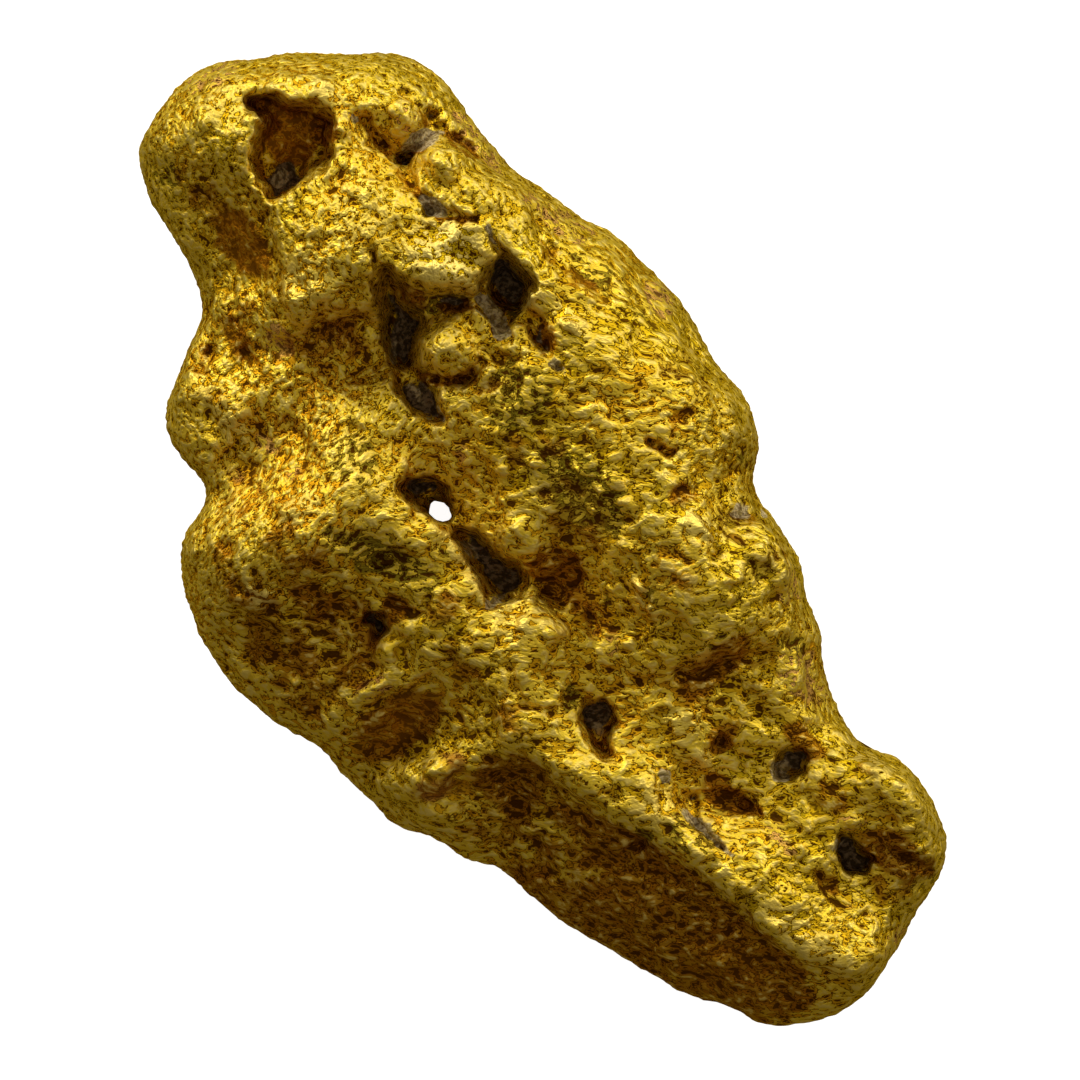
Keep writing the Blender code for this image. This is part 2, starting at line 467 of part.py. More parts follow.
def add_steep_hollow(bm, mouth, floor, narrows_to, share):
    """A shaft of the mouth's shape, which narrows towards its floor."""
    middle = np.array(narrows_to)
    outer = np.array(mouth)
    inner = middle + (outer - middle) * share
    levels = ((outer, OPEN_ABOVE), (outer, floor + NARROWING_HEIGHT), (inner, floor))
    rings = [
        [bm.verts.new(Vector((x, y, height)) * MM) for x, y in points] for points, height in levels
    ]
    bm.faces.new(rings[0])
    bm.faces.new(rings[-1][::-1])
    for above, below in zip(rings, rings[1:]):
        for corner in range(len(mouth)):
            before = corner - 1
            bm.faces.new((above[corner], above[before], below[before], below[corner]))


def add_winding_hollow(bm, chain):
    """A row of overlapping beads from each point of the chain to the next."""
    for start, end in zip(chain, chain[1:]):
        first, last = np.array(start), np.array(end)
        length = np.linalg.norm(last[:3] - first[:3])
        beads = math.ceil(BEADS_PER_RADIUS * length / min(first[3], last[3])) + 1
        for share in np.linspace(0, 1, beads):
            x, y, z, radius = first + (last - first) * share
            add_lump(bm, (x, y, z), (radius, radius, radius), 0, BEAD_FINENESS)


def object_from(name, bm):
    mesh = bpy.data.meshes.new(name)
    bm.to_mesh(mesh)
    bm.free()
    made = bpy.data.objects.new(name, mesh)
    bpy.context.scene.collection.objects.link(made)
    return made


def add_remesh(target, cell):
    modifier = target.modifiers.new("One skin", "REMESH")
    modifier.mode = "VOXEL"
    modifier.voxel_size = cell * MM
    modifier.use_smooth_shade = True


def hollow_cutter():
    bm = bmesh.new()
    for hollow in STEEP_HOLLOWS:
        add_steep_hollow(bm, *hollow)
    for chain in WINDING_HOLLOWS:
        add_winding_hollow(bm, chain)
    bmesh.ops.recalc_face_normals(bm, faces=bm.faces)
    cutter = object_from("hollows", bm)
    add_remesh(cutter, HOLLOW_CELL)
    return hide_helper(cutter)


def ground_cutter():
    """A block whose top is the surface that the nugget rests on."""
    length, width, depth = (size * MM for size in GROUND_SIZE)
    bm = bmesh.new()
    size = Matrix.Diagonal((length, width, depth, 1))
    place = Matrix.Translation((0, 0, -depth / 2))
    bmesh.ops.create_cube(bm, size=1, matrix=place @ size)
    return hide_helper(object_from("ground", bm))


def hide_helper(helper):
    helper.hide_render = True
    helper.display_type = "WIRE"
    return helper


def add_cut(target, name, cutter):
    modifier = target.modifiers.new(name, "BOOLEAN")
    modifier.operation = "DIFFERENCE"
    modifier.solver = "EXACT"
    modifier.object = cutter


def add_waves(target):
    """The gentle unevenness that wear leaves all over the gold."""
    texture = bpy.data.textures.new("worn waves", "CLOUDS")
    texture.noise_scale = WAVE_SIZE * MM
    texture.noise_depth = WAVE_DETAIL
    modifier = target.modifiers.new("Worn waves", "DISPLACE")
    modifier.texture = texture
    modifier.texture_coords = "LOCAL"
    modifier.strength = WAVE_DEPTH * MM


def gold():
    material = bpy.data.materials.new("native gold")
    material.use_nodes = True
    shader = material.node_tree.nodes["Principled BSDF"]
    shader.inputs["Base Color"].default_value = GOLD
    shader.inputs["Roughness"].default_value = GOLD_ROUGHNESS
    shader.inputs["Metallic"].default_value = 1.0
    return material


def build_nugget():
    bm = bmesh.new()
    add_skin(bm)
    for centre, half_sizes, turn in UPPER_LUMPS + SIDE_LUMPS + UNDER_LUMPS:
        add_lump(bm, centre, half_sizes, turn)
    nugget = object_from("nugget", bm)
    nugget.data.materials.append(gold())
    add_remesh(nugget, SKIN_CELL)
    smooth = nugget.modifiers.new("Water wear", "SMOOTH")
    smooth.iterations = SMOOTHING
    add_waves(nugget)
    add_cut(nugget, "Pits and crevices", hollow_cutter())
    add_remesh(nugget, CUT_CELL)
    fewer = nugget.modifiers.new("Fewer faces", "DECIMATE")
    fewer.ratio = KEPT_FACES
    add_cut(nugget, "Worn feet", ground_cutter())
    return nugget


clear_scene()
build_nugget()
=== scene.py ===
import math

import bmesh
import bpy
import numpy as np
from mathutils import Matrix, Vector, noise


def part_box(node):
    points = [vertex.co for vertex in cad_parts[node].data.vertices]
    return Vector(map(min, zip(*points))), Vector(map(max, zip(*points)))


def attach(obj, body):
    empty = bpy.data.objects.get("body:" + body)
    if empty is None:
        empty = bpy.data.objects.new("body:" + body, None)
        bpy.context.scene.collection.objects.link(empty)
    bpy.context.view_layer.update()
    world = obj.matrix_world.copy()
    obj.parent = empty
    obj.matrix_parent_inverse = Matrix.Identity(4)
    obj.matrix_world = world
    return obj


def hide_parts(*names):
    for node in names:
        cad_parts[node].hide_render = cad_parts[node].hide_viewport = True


MM = 0.001

# Noise: the direction in which a seed moves the points through it, how fast its octaves get weaker
# and finer, and what is added to the seed for the three ways in which it carries a point.
SEED_DIRECTION = (1.0, 2.3, -1.7)
FALL_OFF, LACUNARITY = 1.0, 2.0
WANDER_SHIFTS = (0.0, 4.1, 9.2)

# The gold's skin: sizes of its cells in millimetres, rounds of smoothing that wear off the solid's
# facets, and the most triangles that it may have.
FIRST_CELL = 0.08
FACET_SMOOTHING = 9
SECOND_CELL = 0.07
MOST_TRIANGLES = 196000

# Uneven wear all over: the size and the depth of the lumps in millimetres, and a seed. Places that
# face sideways get only a share of it, which grows to all of it between these two amounts of facing
# up or down.
CLOUDS = ((1.9, 0.1, 3.1), (0.85, 0.08, 7.7), (0.42, 0.06, 15.2))
PEBBLES = ((1.3, 0.07, 5.3), (0.6, 0.06, 12.3))
SIDE_SHARE = 0.3
SIDE_FACING = (0.1, 0.6)

# The grain: its size, depth and seed, and the share of its depth that worn places lose. It curls a
# little, by an amount, over a length and with a seed of its own.
GRAIN_SIZE, GRAIN_DEPTH, GRAIN_SEED = 0.28, 0.06, 4.4
GRAIN_WORN_OFF = 0.7
CURL, CURL_SIZE, CURL_SEED = 0.1, 0.5, 5.1

# Past the head the grain is drawn out into strands that run across the picture: by what share, and
# between which places along the nugget that sets in.
STRAND_STRETCH = 0.4
STRAND_START, STRAND_FULL = -6.0, -2.0

# Ragged edges: how far the forms below wander from their lines, how long the waves are, and a seed.
WANDER, WANDER_SIZE, WANDER_SEED = 0.12, 0.26, 21.0
WIDE_WANDER, WIDE_WANDER_SIZE, WIDE_WANDER_SEED = 0.09, 0.9, 33.0

# What faces up more than the second value gets the forms below in full, and what faces up less
# than the first gets none of them.
UPPER_FACING = (0.0, 0.35)

# Mouths of the deep hollows, each an outline and the height of its floor. All places are x and y
# in millimetres in the nugget's own frame, heights are above the ground that it rests on. The walls
# start a little inside the outline and rise this steeply, within this reach of it.
WALL_STEEPNESS = 7.0
WALL_INSET = 0.12
WALL_REACH = 1.0
HOLLOWS = {
    "crater": (
        ((-13.0, 1.2), (-12.9, 1.55), (-12.6, 1.85), (-12.1, 2.05), (-11.9, 2.45), (-11.6, 2.6),
         (-11.3, 2.7), (-11.0, 2.35), (-10.55, 2.15), (-10.5, 1.3), (-10.4, 0.5), (-10.5, 0.35),
         (-11.2, 0.4), (-11.6, 0.45), (-11.85, 0.8), (-12.05, 1.1), (-12.0, 1.5), (-12.35, 1.4),
         (-12.6, 1.15)), 4.1),
    "head hole": (((-9.55, 3.8), (-9.35, 3.85), (-9.15, 3.5), (-9.5, 3.4), (-9.85, 3.45)), 4.6),
    "edge hole": (((-10.1, 5.35), (-9.98, 5.3), (-9.85, 4.85), (-9.95, 4.6), (-10.2, 4.75)), 4.5),
    "head ledge": (((-8.5, 3.55), (-7.95, 3.6), (-7.65, 3.9), (-7.75, 3.6), (-8.05, 3.2)), 6.0),
    "tongue crevice": (
        ((-6.8, 4.3), (-6.6, 4.48), (-6.4, 4.42), (-6.0, 4.3), (-6.15, 4.1), (-6.6, 4.2)), 6.2),
    "tongue hole": (
        ((-6.05, 4.3), (-5.6, 4.38), (-5.2, 4.5), (-5.05, 4.35), (-4.9, 4.15), (-4.75, 3.9),
         (-5.05, 3.6), (-5.35, 3.65), (-5.65, 3.5), (-5.85, 3.75)), 4.5),
    "tongue ledge": (
        ((-5.75, 3.5), (-5.3, 3.6), (-4.7, 3.95), (-4.65, 3.5), (-4.4, 3.35), (-4.55, 3.08),
         (-5.2, 3.02), (-5.75, 3.08)), 5.9),
    "tongue arm": (
        ((-4.6, 4.1), (-4.3, 4.45), (-3.9, 4.2), (-3.5, 4.12), (-3.35, 3.9), (-2.9, 4.15),
         (-2.95, 3.8), (-3.6, 3.75), (-4.2, 3.85), (-4.5, 3.6)), 6.15),
    "knob crevice": (
        ((-7.25, 1.6), (-6.9, 1.62), (-6.4, 1.6), (-6.15, 1.75), (-5.9, 1.75), (-5.72, 1.5),
         (-5.45, 1.2), (-5.2, 1.0), (-5.15, 0.6),
         (-5.5, 0.5), (-6.1, 0.75), (-6.6, 1.15), (-7.0, 1.3)), 3.9),
    "knob floor": (
        ((-5.4, 1.05), (-4.8, 1.05), (-4.25, 1.12), (-3.6, 0.92), (-3.58, 0.62), (-4.1, 0.28),
         (-4.9, 0.25), (-5.4, 0.45)), 4.9),
    "gap before the hole": (
        ((-2.87, -0.72), (-2.65, -0.42), (-2.4, -0.12), (-2.0, -0.1), (-1.9, -0.75), (-2.3, -0.95),
         (-2.7, -0.98)), 4.2),
    "middle gap": (
        ((-1.3, -0.47), (-0.95, -0.17), (-0.65, 0.02), (-0.1, 0.0), (0.2, 0.15), (0.5, 0.38),
         (0.87, 0.3), (1.07, -0.1), (0.98, -0.5), (0.7, -0.62), (0.2, -0.56), (-0.4, -0.5),
         (-1.0, -0.55)), 4.2),
    "middle ledge": (((0.7, -0.4), (1.0, -0.35), (1.1, -0.85), (0.9, -0.95), (0.75, -0.7)), 5.5),
    "lobe pit": (
        ((-0.72, -3.4), (-0.5, -3.2), (0.0, -3.2), (0.08, -3.8), (-0.15, -3.72), (-0.3, -3.55),
         (-0.55, -3.65)), 4.1),
    "far pit": (
        ((-0.5, 4.7), (-0.35, 4.92), (-0.1, 4.98), (0.15, 5.15), (0.42, 5.25), (0.35, 4.95),
         (0.1, 4.75), (-0.1, 4.72), (-0.35, 4.58)), 6.3),
    "ridge foot pit": (
        ((4.18, -0.15), (4.35, 0.15), (4.75, 0.32), (5.1, 0.15), (5.25, -0.2), (5.7, -0.34),
         (5.72, -0.52), (5.1, -0.6), (4.3, -0.45)), 4.9),
    "round pit": (((6.55, 2.1), (6.75, 2.35), (7.1, 2.25), (7.22, 1.9), (7.0, 1.7), (6.7, 1.85)), 5.45),
    "grey pit": (
        ((7.9, 3.3), (8.1, 3.65), (8.45, 3.7), (8.72, 3.4), (8.68, 3.0), (8.55, 2.68), (8.2, 2.6),
         (8.0, 2.9)), 4.6),
    "tail pit": (
        ((10.42, 3.2), (10.6, 3.5), (11.05, 3.45), (11.45, 3.7), (11.7, 3.4), (11.62, 2.95),
         (11.2, 2.78), (10.75, 2.92)), 4.1),
    "trough": (
        ((7.15, 0.75), (7.6, 0.95), (8.1, 0.72), (8.55, 0.62), (9.3, 0.85), (9.15, 0.5),
         (8.2, 0.2), (7.5, 0.42)), 5.55),
}

# Hollows that are shallower than the solid's, as an outline and the height of the floor, and how
# far round them the floor slopes away.
FILL_REACH = 0.3
FILLED = {
    "under the tongue": (
        ((-6.3, 1.75), (-6.25, 2.3), (-6.0, 2.9), (-5.8, 3.3), (-5.5, 3.1), (-5.55, 2.4),
         (-5.7, 1.8), (-6.0, 1.65)), 5.75),
}

# Edges with a drop on the right-hand side of their line: points, reach of the drop and depth. The
# edge is this wide, from behind the line to in front of it, and the drop fades out near its ends.
SCARP_EDGE = (-0.05, 0.1)
SCARP_FADE = 0.6
SCARPS = (
    (((-10.8, 0.4), (-10.2, 0.13), (-9.1, -0.3), (-8.0, -0.82), (-7.5, -1.06)), 1.0, 0.45),
    (((-7.5, -1.06), (-7.38, -0.47), (-7.0, 0.3), (-6.62, 1.07)), 0.7, 0.5),
    (((-7.4, 1.66), (-6.58, 1.92), (-5.91, 2.38), (-5.62, 3.35)), 0.4, 0.35),
    (((-9.46, 4.19), (-9.27, 3.8), (-8.93, 3.54), (-8.32, 3.42)), 0.45, 0.4),
    (((-8.26, 5.43), (-8.97, 5.01), (-9.38, 4.62), (-9.46, 4.19)), 0.4, 0.35),
    (((-5.37, 1.08), (-4.87, 1.07), (-4.44, 1.44), (-4.22, 1.81), (-4.22, 2.35)), 0.4, 0.42),
    (((-4.86, 4.74), (-4.03, 5.53), (-3.02, 6.22), (-2.18, 6.25)), 0.6, 0.12),
    (((4.1, -3.4), (4.4, -2.9), (4.65, -2.43), (5.16, -1.9), (6.0, -1.56), (6.76, -1.5),
      (7.79, -0.87), (8.73, -0.32), (9.92, -0.07), (11.02, 0.21), (11.85, 0.37), (12.81, 0.9),
      (13.9, 1.65)), 1.4, 0.65),
    (((3.9, -4.9), (4.1, -4.1), (4.2, -3.6), (4.1, -3.1)), 0.6, 0.3),
    (((0.2, -6.0), (0.3, -5.0), (0.35, -4.3), (0.5, -3.6)), 0.8, 0.25),
)

# The hole that goes right through: its middle, half its length and width, its turn in degrees, how
# far from its middle its walls give way to it, and the least reach that counts for that.
HOLE_PLACE, HOLE_REACH, HOLE_TURN = (-1.7, -0.52), (0.16, 0.06), 20.0
HOLE_WALL, LEAST_REACH = 0.75, 0.01

# Crevices and creases: points along the bottom, half the width and the depth. The two whose depth
# is less than nothing are low banks.
CREVICES = (
    (((-10.9, 3.3), (-10.3, 3.35), (-9.7, 3.45), (-9.3, 3.6)), 0.16, 0.4),
    (((-10.9, 4.5), (-10.4, 4.62), (-10.0, 4.8)), 0.15, 0.35),
    (((-9.7, 4.65), (-9.6, 4.2), (-9.5, 3.85)), 0.2, 0.35),
    (((-9.7, 4.85), (-9.2, 5.0), (-8.6, 5.1), (-8.1, 5.5)), 0.14, 0.3),
    (((-9.2, 3.42), (-8.7, 3.42), (-8.1, 3.5), (-7.6, 3.85), (-7.2, 4.25)), 0.17, 0.4),
    (((-8.0, 1.65), (-7.5, 1.6), (-7.1, 1.5)), 0.14, 0.3),
    (((-7.25, 1.6), (-6.8, 1.86), (-6.3, 2.26), (-5.93, 2.66), (-5.6, 3.05)), 0.3, 0.6),
    (((-5.3, 1.0), (-4.8, 1.0), (-4.4, 1.4), (-4.15, 1.85), (-4.2, 2.4)), 0.2, 0.45),
    (((-4.35, 2.6), (-4.0, 2.8), (-3.7, 2.7), (-3.6, 2.2)), 0.12, 0.2),
    (((-3.95, 2.95), (-3.4, 2.85), (-3.15, 2.4)), 0.2, 0.25),
    (((-6.5, 5.5), (-6.0, 5.4), (-5.5, 5.38), (-4.9, 5.25)), 0.11, 0.22),
    (((-4.9, 5.45), (-4.3, 5.75), (-3.7, 5.9)), 0.11, 0.15),
    (((1.15, 4.4), (1.25, 4.75), (1.4, 5.0)), 0.13, 0.25),
    (((4.0, 4.65), (3.95, 4.35), (4.1, 4.0)), 0.09, 0.25),
    (((5.8, 4.3), (5.65, 3.9), (5.3, 3.3), (5.25, 2.7), (5.0, 2.2)), 0.28, 0.32),
    (((1.0, 3.6), (1.1, 3.3), (1.05, 3.0)), 0.12, 0.2),
    (((2.1, 1.0), (2.5, 1.1), (2.95, 1.0)), 0.15, 0.3),
    (((0.9, -1.3), (0.6, -1.15), (0.85, -1.0)), 0.1, 0.2),
    (((-0.1, -1.9), (0.1, -2.3), (-0.15, -2.6), (-0.5, -2.85)), 0.18, 0.25),
    (((0.1, -3.85), (0.35, -4.1), (0.65, -3.95)), 0.13, 0.3),
    (((-8.4, -2.8), (-8.15, -3.0), (-7.95, -3.5)), 0.12, 0.3),
    (((-7.85, -2.3), (-7.3, -2.3)), 0.13, 0.3),
    (((2.4, -1.3), (3.0, -1.4), (3.5, -1.5), (3.9, -1.0)), 0.16, 0.25),
    (((3.9, -3.6), (4.4, -4.0), (4.2, -4.4), (4.0, -5.0)), 0.1, 0.15),
    (((7.85, -0.7), (7.95, -1.0), (7.85, -1.3)), 0.2, 0.3),
    (((8.5, 1.6), (8.75, 1.8), (9.0, 1.75)), 0.15, 0.3),
    (((10.9, 5.0), (10.85, 4.7), (10.7, 4.3)), 0.1, 0.2),
    (((11.2, 3.8), (11.6, 4.1), (12.1, 4.4), (12.4, 4.6)), 0.2, 0.2),
    (((10.3, 0.3), (10.9, 0.0), (10.9, -0.6), (10.6, -1.2)), 0.25, 0.2),
    (((5.6, -3.5), (6.0, -3.6), (6.3, -3.2), (6.35, -2.9)), 0.14, 0.3),
    (((1.5, -2.3), (1.6, -3.0), (1.5, -4.0), (1.45, -5.0)), 0.2, 0.2),
    (((-3.1, -5.1), (-2.4, -5.4), (-1.8, -5.3)), 0.13, 0.2),
    (((1.79, 6.65), (1.57, 6.23), (1.51, 5.78)), 0.13, 0.3),
    (((-1.9, -0.85), (-1.3, -0.72), (-0.3, -0.72), (0.6, -0.8)), 0.3, -0.22),
    (((4.9, -1.8), (5.4, -1.4), (6.2, -1.2), (7.4, -0.75), (8.5, -0.1), (9.8, 0.2), (11.0, 0.45),
      (11.9, 0.65), (12.8, 1.2), (13.4, 1.6)), 0.55, -0.22),
)

# Single lumps and, with a height less than nothing, dents: place, half length, half width, turn in
# degrees and height.
SWELLS = (
    # Head
    (-12.2, 1.27, 0.28, 0.18, 30, 0.35), (-10.95, 2.75, 0.24, 0.24, 0, 0.25),
    (-10.35, 4.2, 0.6, 0.32, -10, 0.28), (-10.45, 0.12, 0.25, 0.15, 20, 0.22),
    (-11.4, 3.65, 0.17, 0.13, 0, -0.18), (-8.9, 4.35, 0.65, 0.5, 20, 0.3),
    (-7.7, 4.75, 0.7, 0.4, 15, 0.2), (-9.3, 5.2, 0.7, 0.22, 8, 0.22),
    (-8.85, -1.95, 0.42, 0.38, 40, 0.22), (-8.85, -1.93, 0.2, 0.17, 40, -0.25),
    (-8.4, -0.75, 0.6, 0.25, 25, 0.16), (-11.0, 0.15, 0.7, 0.14, -4, 0.15),
    (-9.2, 2.5, 0.8, 0.6, 20, 0.12), (-10.0, 2.6, 0.35, 0.3, 0, 0.1), (-8.9, 0.9, 0.7, 0.35, 60, -0.12),
    (-12.9, 2.4, 0.45, 0.3, 50, 0.1), (-13.1, 0.0, 0.5, 0.35, 80, 0.12),
    (-12.4, -0.5, 0.4, 0.25, 10, 0.1),
    # Near edge beside the head
    (-8.1, -3.72, 0.17, 0.15, 0, 0.16), (-7.4, -3.75, 0.2, 0.16, 20, 0.16),
    (-7.0, -3.45, 0.2, 0.15, 60, 0.14), (-6.85, -3.95, 0.24, 0.2, 0, -0.22),
    (-6.3, -4.3, 0.3, 0.22, 30, 0.16), (-6.5, -3.3, 0.3, 0.2, 0, 0.16),
    # Tongue, knob and top
    (-6.75, 2.25, 1.1, 0.5, 55, 0.3), (-7.7, -0.2, 1.1, 0.6, 65, 0.2),
    (-6.4, 2.9, 0.85, 0.45, 56, 0.25), (-7.15, 2.75, 0.75, 0.5, 50, 0.28),
    (-7.2, 3.4, 0.4, 0.3, 20, 0.12), (-4.9, 1.95, 0.85, 0.8, 0, 0.32), (-5.6, 2.2, 0.14, 0.14, 0, -0.1),
    (-4.15, 2.3, 0.42, 0.4, 0, 0.2), (-4.5, 1.2, 0.15, 0.2, 0, -0.25),
    (-4.78, 4.3, 0.28, 0.2, -40, 0.28), (-4.3, 3.85, 0.11, 0.16, 0, 0.22),
    (-4.4, 3.5, 0.3, 0.13, -30, 0.2), (-3.6, 3.45, 0.4, 0.18, 10, 0.16),
    (-4.05, 3.1, 0.2, 0.14, 0, 0.16), (-5.55, 5.3, 0.2, 0.14, 30, -0.2),
    (-4.7, 6.4, 0.4, 0.25, 10, 0.1), (-3.4, 6.2, 0.35, 0.2, 10, 0.1), (-4.2, 5.65, 0.7, 0.2, 15, -0.12),
    (-3.0, 6.85, 0.3, 0.25, 0, -0.1), (-1.35, 2.05, 0.2, 0.2, 0, 0.2),
    (-1.7, 1.3, 0.35, 0.15, 50, 0.15), (-4.95, 5.0, 0.15, 0.25, 0, 0.14),
    (-3.7, 4.75, 0.35, 0.2, 10, 0.14), (-1.0, 6.5, 0.15, 0.25, 0, 0.14),
    (-0.3, 5.75, 0.17, 0.3, 0, -0.22), (-1.2, 5.3, 0.2, 0.15, 0, 0.1), (-2.0, 2.8, 0.3, 0.2, 56, -0.12),
    # Shoulder
    (2.1, 4.55, 0.65, 0.22, 25, 0.22), (3.0, 4.6, 0.25, 0.2, 0, -0.24),
    (3.72, 4.5, 0.28, 0.12, 50, 0.26), (4.1, 4.15, 0.12, 0.17, 0, 0.2), (1.2, 6.05, 0.26, 0.1, 0, -0.2),
    (0.9, 6.75, 0.5, 0.12, 12, 0.14), (2.6, 5.6, 0.25, 0.3, 30, -0.25),
    (4.6, 5.6, 0.35, 0.22, 20, 0.12), (5.85, 4.9, 0.32, 0.26, 40, -0.28),
    (3.5, 5.4, 0.4, 0.3, 30, 0.12), (4.8, 4.6, 0.45, 0.3, 30, 0.1), (6.4, 3.7, 0.3, 0.2, 45, 0.14),
    (7.0, 3.3, 0.5, 0.35, 20, -0.15), (6.7, 4.5, 0.5, 0.3, -30, 0.1),
    # Far slope
    (4.75, 2.9, 0.18, 0.3, 10, 0.22), (2.65, 2.5, 0.3, 0.15, 10, 0.24), (3.3, 2.48, 0.2, 0.13, 40, 0.2),
    (1.6, 2.8, 0.3, 0.14, 20, 0.16), (-0.65, 2.85, 0.22, 0.13, 20, 0.18),
    (0.1, 3.5, 0.35, 0.13, 50, 0.16), (0.65, 3.4, 0.35, 0.12, 56, 0.16),
    (1.35, 1.3, 0.5, 0.35, 20, -0.2), (1.5, 0.7, 0.6, 0.4, -10, -0.3),
    (-0.05, 0.75, 0.75, 0.6, 0, 0.25), (0.0, 0.6, 0.35, 0.3, 0, -0.1), (2.2, 1.9, 0.35, 0.12, 56, 0.15),
    (0.4, 1.8, 0.3, 0.18, 56, -0.16), (-2.6, 1.6, 0.4, 0.18, 56, 0.14),
    (3.5, 1.5, 0.35, 0.13, 56, 0.15), (5.3, 1.3, 0.4, 0.13, 56, 0.16), (4.6, 1.3, 0.3, 0.15, 56, -0.14),
    (2.3, 3.6, 0.35, 0.2, 20, -0.14), (0.8, 2.3, 0.25, 0.12, 60, 0.12),
    (-0.7, 1.9, 0.2, 0.12, 50, -0.14),
    # Lobe
    (-4.5, -1.1, 0.28, 0.22, 40, -0.22), (-1.55, -2.4, 0.28, 0.6, 0, -0.22),
    (-1.2, -2.0, 1.7, 0.5, 30, -0.22), (-2.5, -3.0, 0.35, 0.25, 30, -0.2),
    (0.3, -2.75, 0.28, 0.35, 0, 0.2), (0.45, -3.5, 0.25, 0.45, 0, 0.18),
    (1.0, -4.4, 0.2, 0.65, 3, 0.22), (-2.55, -5.35, 0.5, 0.12, 25, 0.24),
    (-2.65, -5.8, 0.35, 0.2, 20, 0.18), (-4.0, -5.4, 0.25, 0.2, 0, -0.22),
    (-1.2, -4.35, 0.28, 0.2, 0, -0.18), (-0.4, -5.8, 0.16, 0.13, 0, -0.2),
    (-3.8, -3.6, 0.3, 0.2, 50, 0.14), (-4.4, -3.0, 0.3, 0.2, 40, 0.12),
    (-1.65, -3.35, 0.2, 0.14, 30, 0.14), (-0.7, -4.4, 0.22, 0.2, 60, 0.12),
    (1.2, -5.75, 0.25, 0.3, 0, 0.12), (-0.55, -5.4, 0.25, 0.2, 0, 0.1),
    (-5.5, -2.4, 0.5, 0.25, 20, -0.12), (-3.2, -0.6, 0.2, 0.16, 0, 0.2),
    (-2.2, -1.2, 0.3, 0.16, -20, 0.16), (3.4, -4.6, 1.2, 0.55, 80, 0.3),
    # Mound and ridge
    (1.7, -0.3, 0.3, 0.35, 0, 0.14), (1.3, 0.1, 0.15, 0.25, 0, 0.14), (2.4, 0.2, 0.35, 0.18, 56, 0.15),
    (3.9, -0.4, 0.25, 0.35, 0, -0.16), (5.85, -0.35, 0.13, 0.11, 0, -0.2),
    (6.8, 0.42, 0.14, 0.12, 0, 0.12), (7.65, 0.75, 0.12, 0.12, 0, -0.25),
    (6.8, -0.1, 0.5, 0.35, 20, 0.12), (5.95, -3.2, 0.4, 0.16, 45, 0.26),
    (3.2, -5.4, 0.3, 0.16, 20, 0.14), (3.95, -3.75, 0.12, 0.12, 0, -0.14),
    (7.5, -3.5, 0.5, 0.15, 35, 0.14), (6.5, -0.9, 0.35, 0.3, 0, -0.22),
    (8.1, -0.35, 0.6, 0.4, 20, -0.3), (9.3, 0.1, 0.3, 0.25, 0, -0.18), (10.5, 0.35, 0.35, 0.3, 0, -0.2),
    (11.4, 0.6, 0.25, 0.2, 0, 0.15), (7.2, -1.3, 0.4, 0.2, 20, 0.12), (9.0, -2.3, 0.3, 0.3, 30, 0.14),
    (11.5, -0.95, 0.25, 0.5, -15, 0.18), (12.2, -0.75, 0.17, 0.35, -35, 0.18),
    (9.6, -0.45, 0.16, 0.16, 0, 0.12), (10.4, -2.1, 0.2, 0.4, -20, 0.12),
    (12.9, -0.2, 0.35, 0.5, 0, -0.16),
    # Dish and tail
    (7.2, 1.45, 0.35, 0.3, 0, 0.14), (8.15, 1.3, 0.9, 0.4, 56, -0.35), (9.4, 3.1, 0.5, 0.2, 0, -0.12),
    (9.8, 2.65, 0.4, 0.2, 10, 0.14), (10.2, 2.2, 0.25, 0.18, 0, 0.14), (11.1, 1.95, 0.14, 0.1, 0, 0.14),
    (9.4, 1.5, 0.5, 0.25, 20, 0.12), (11.2, 2.2, 0.5, 0.25, 0, -0.16), (13.4, 2.3, 0.3, 0.18, 45, 0.14),
    (12.4, 1.5, 0.4, 0.2, 30, 0.12), (12.0, 1.05, 0.2, 0.12, 20, 0.14), (9.5, 4.8, 0.4, 0.25, 30, 0.14),
    (8.7, 4.3, 0.2, 0.45, 0, 0.12), (10.4, 3.75, 0.14, 0.3, -35, 0.16),
    (10.55, 2.95, 0.13, 0.13, 0, 0.12), (7.5, 4.3, 0.4, 0.25, 0, 0.12),
    (11.2, 4.6, 0.12, 0.5, -25, 0.14), (12.1, 4.4, 0.4, 0.3, 30, -0.18),
)

# What lies on the gold or tints it, and patches of painted shade, painted highlight and painted
# reflection: place, half length, half width, turn and strength. Each patch fades between these
# shares of its size, and is there where the gold faces up more than this.
PATCH_FADE = (0.55, 1.25)
PATCH_FACING = (-0.3, 0.1)
DARK_GRIT = (
    (-10.75, 0.85, 0.4, 0.5, 0, 1.0), (-9.35, 3.6, 0.3, 0.25, 0, 0.9), (-10.0, 4.9, 0.2, 0.4, 0, 0.9),
    (-5.6, 4.1, 0.65, 0.45, 0, 1.0), (-5.75, 1.3, 0.7, 0.6, -20, 1.0), (-6.3, 2.2, 0.9, 0.3, 45, 1.0),
    (-4.4, 0.65, 0.95, 0.4, 0, 0.95), (-2.4, -0.55, 0.5, 0.45, 40, 1.0), (0.1, -0.1, 1.1, 0.5, 5, 1.0),
    (-0.3, -3.45, 0.45, 0.3, 0, 1.0), (-0.1, 4.85, 0.5, 0.25, 25, 0.9), (4.55, -0.15, 0.5, 0.4, 0, 1.0),
    (8.3, 3.4, 0.4, 0.35, 0, 1.0), (11.05, 3.2, 0.7, 0.4, 0, 1.0), (7.65, 0.75, 0.2, 0.2, 0, 0.8),
    (-3.8, 4.05, 0.4, 0.2, -15, 0.6), (-6.2, 4.2, 0.3, 0.15, 0, 0.8), (2.6, 5.5, 0.2, 0.25, 0, 0.7),
    (5.85, 4.95, 0.25, 0.2, 40, 0.4), (-6.6, 1.45, 0.6, 0.2, 0, 0.6),
)
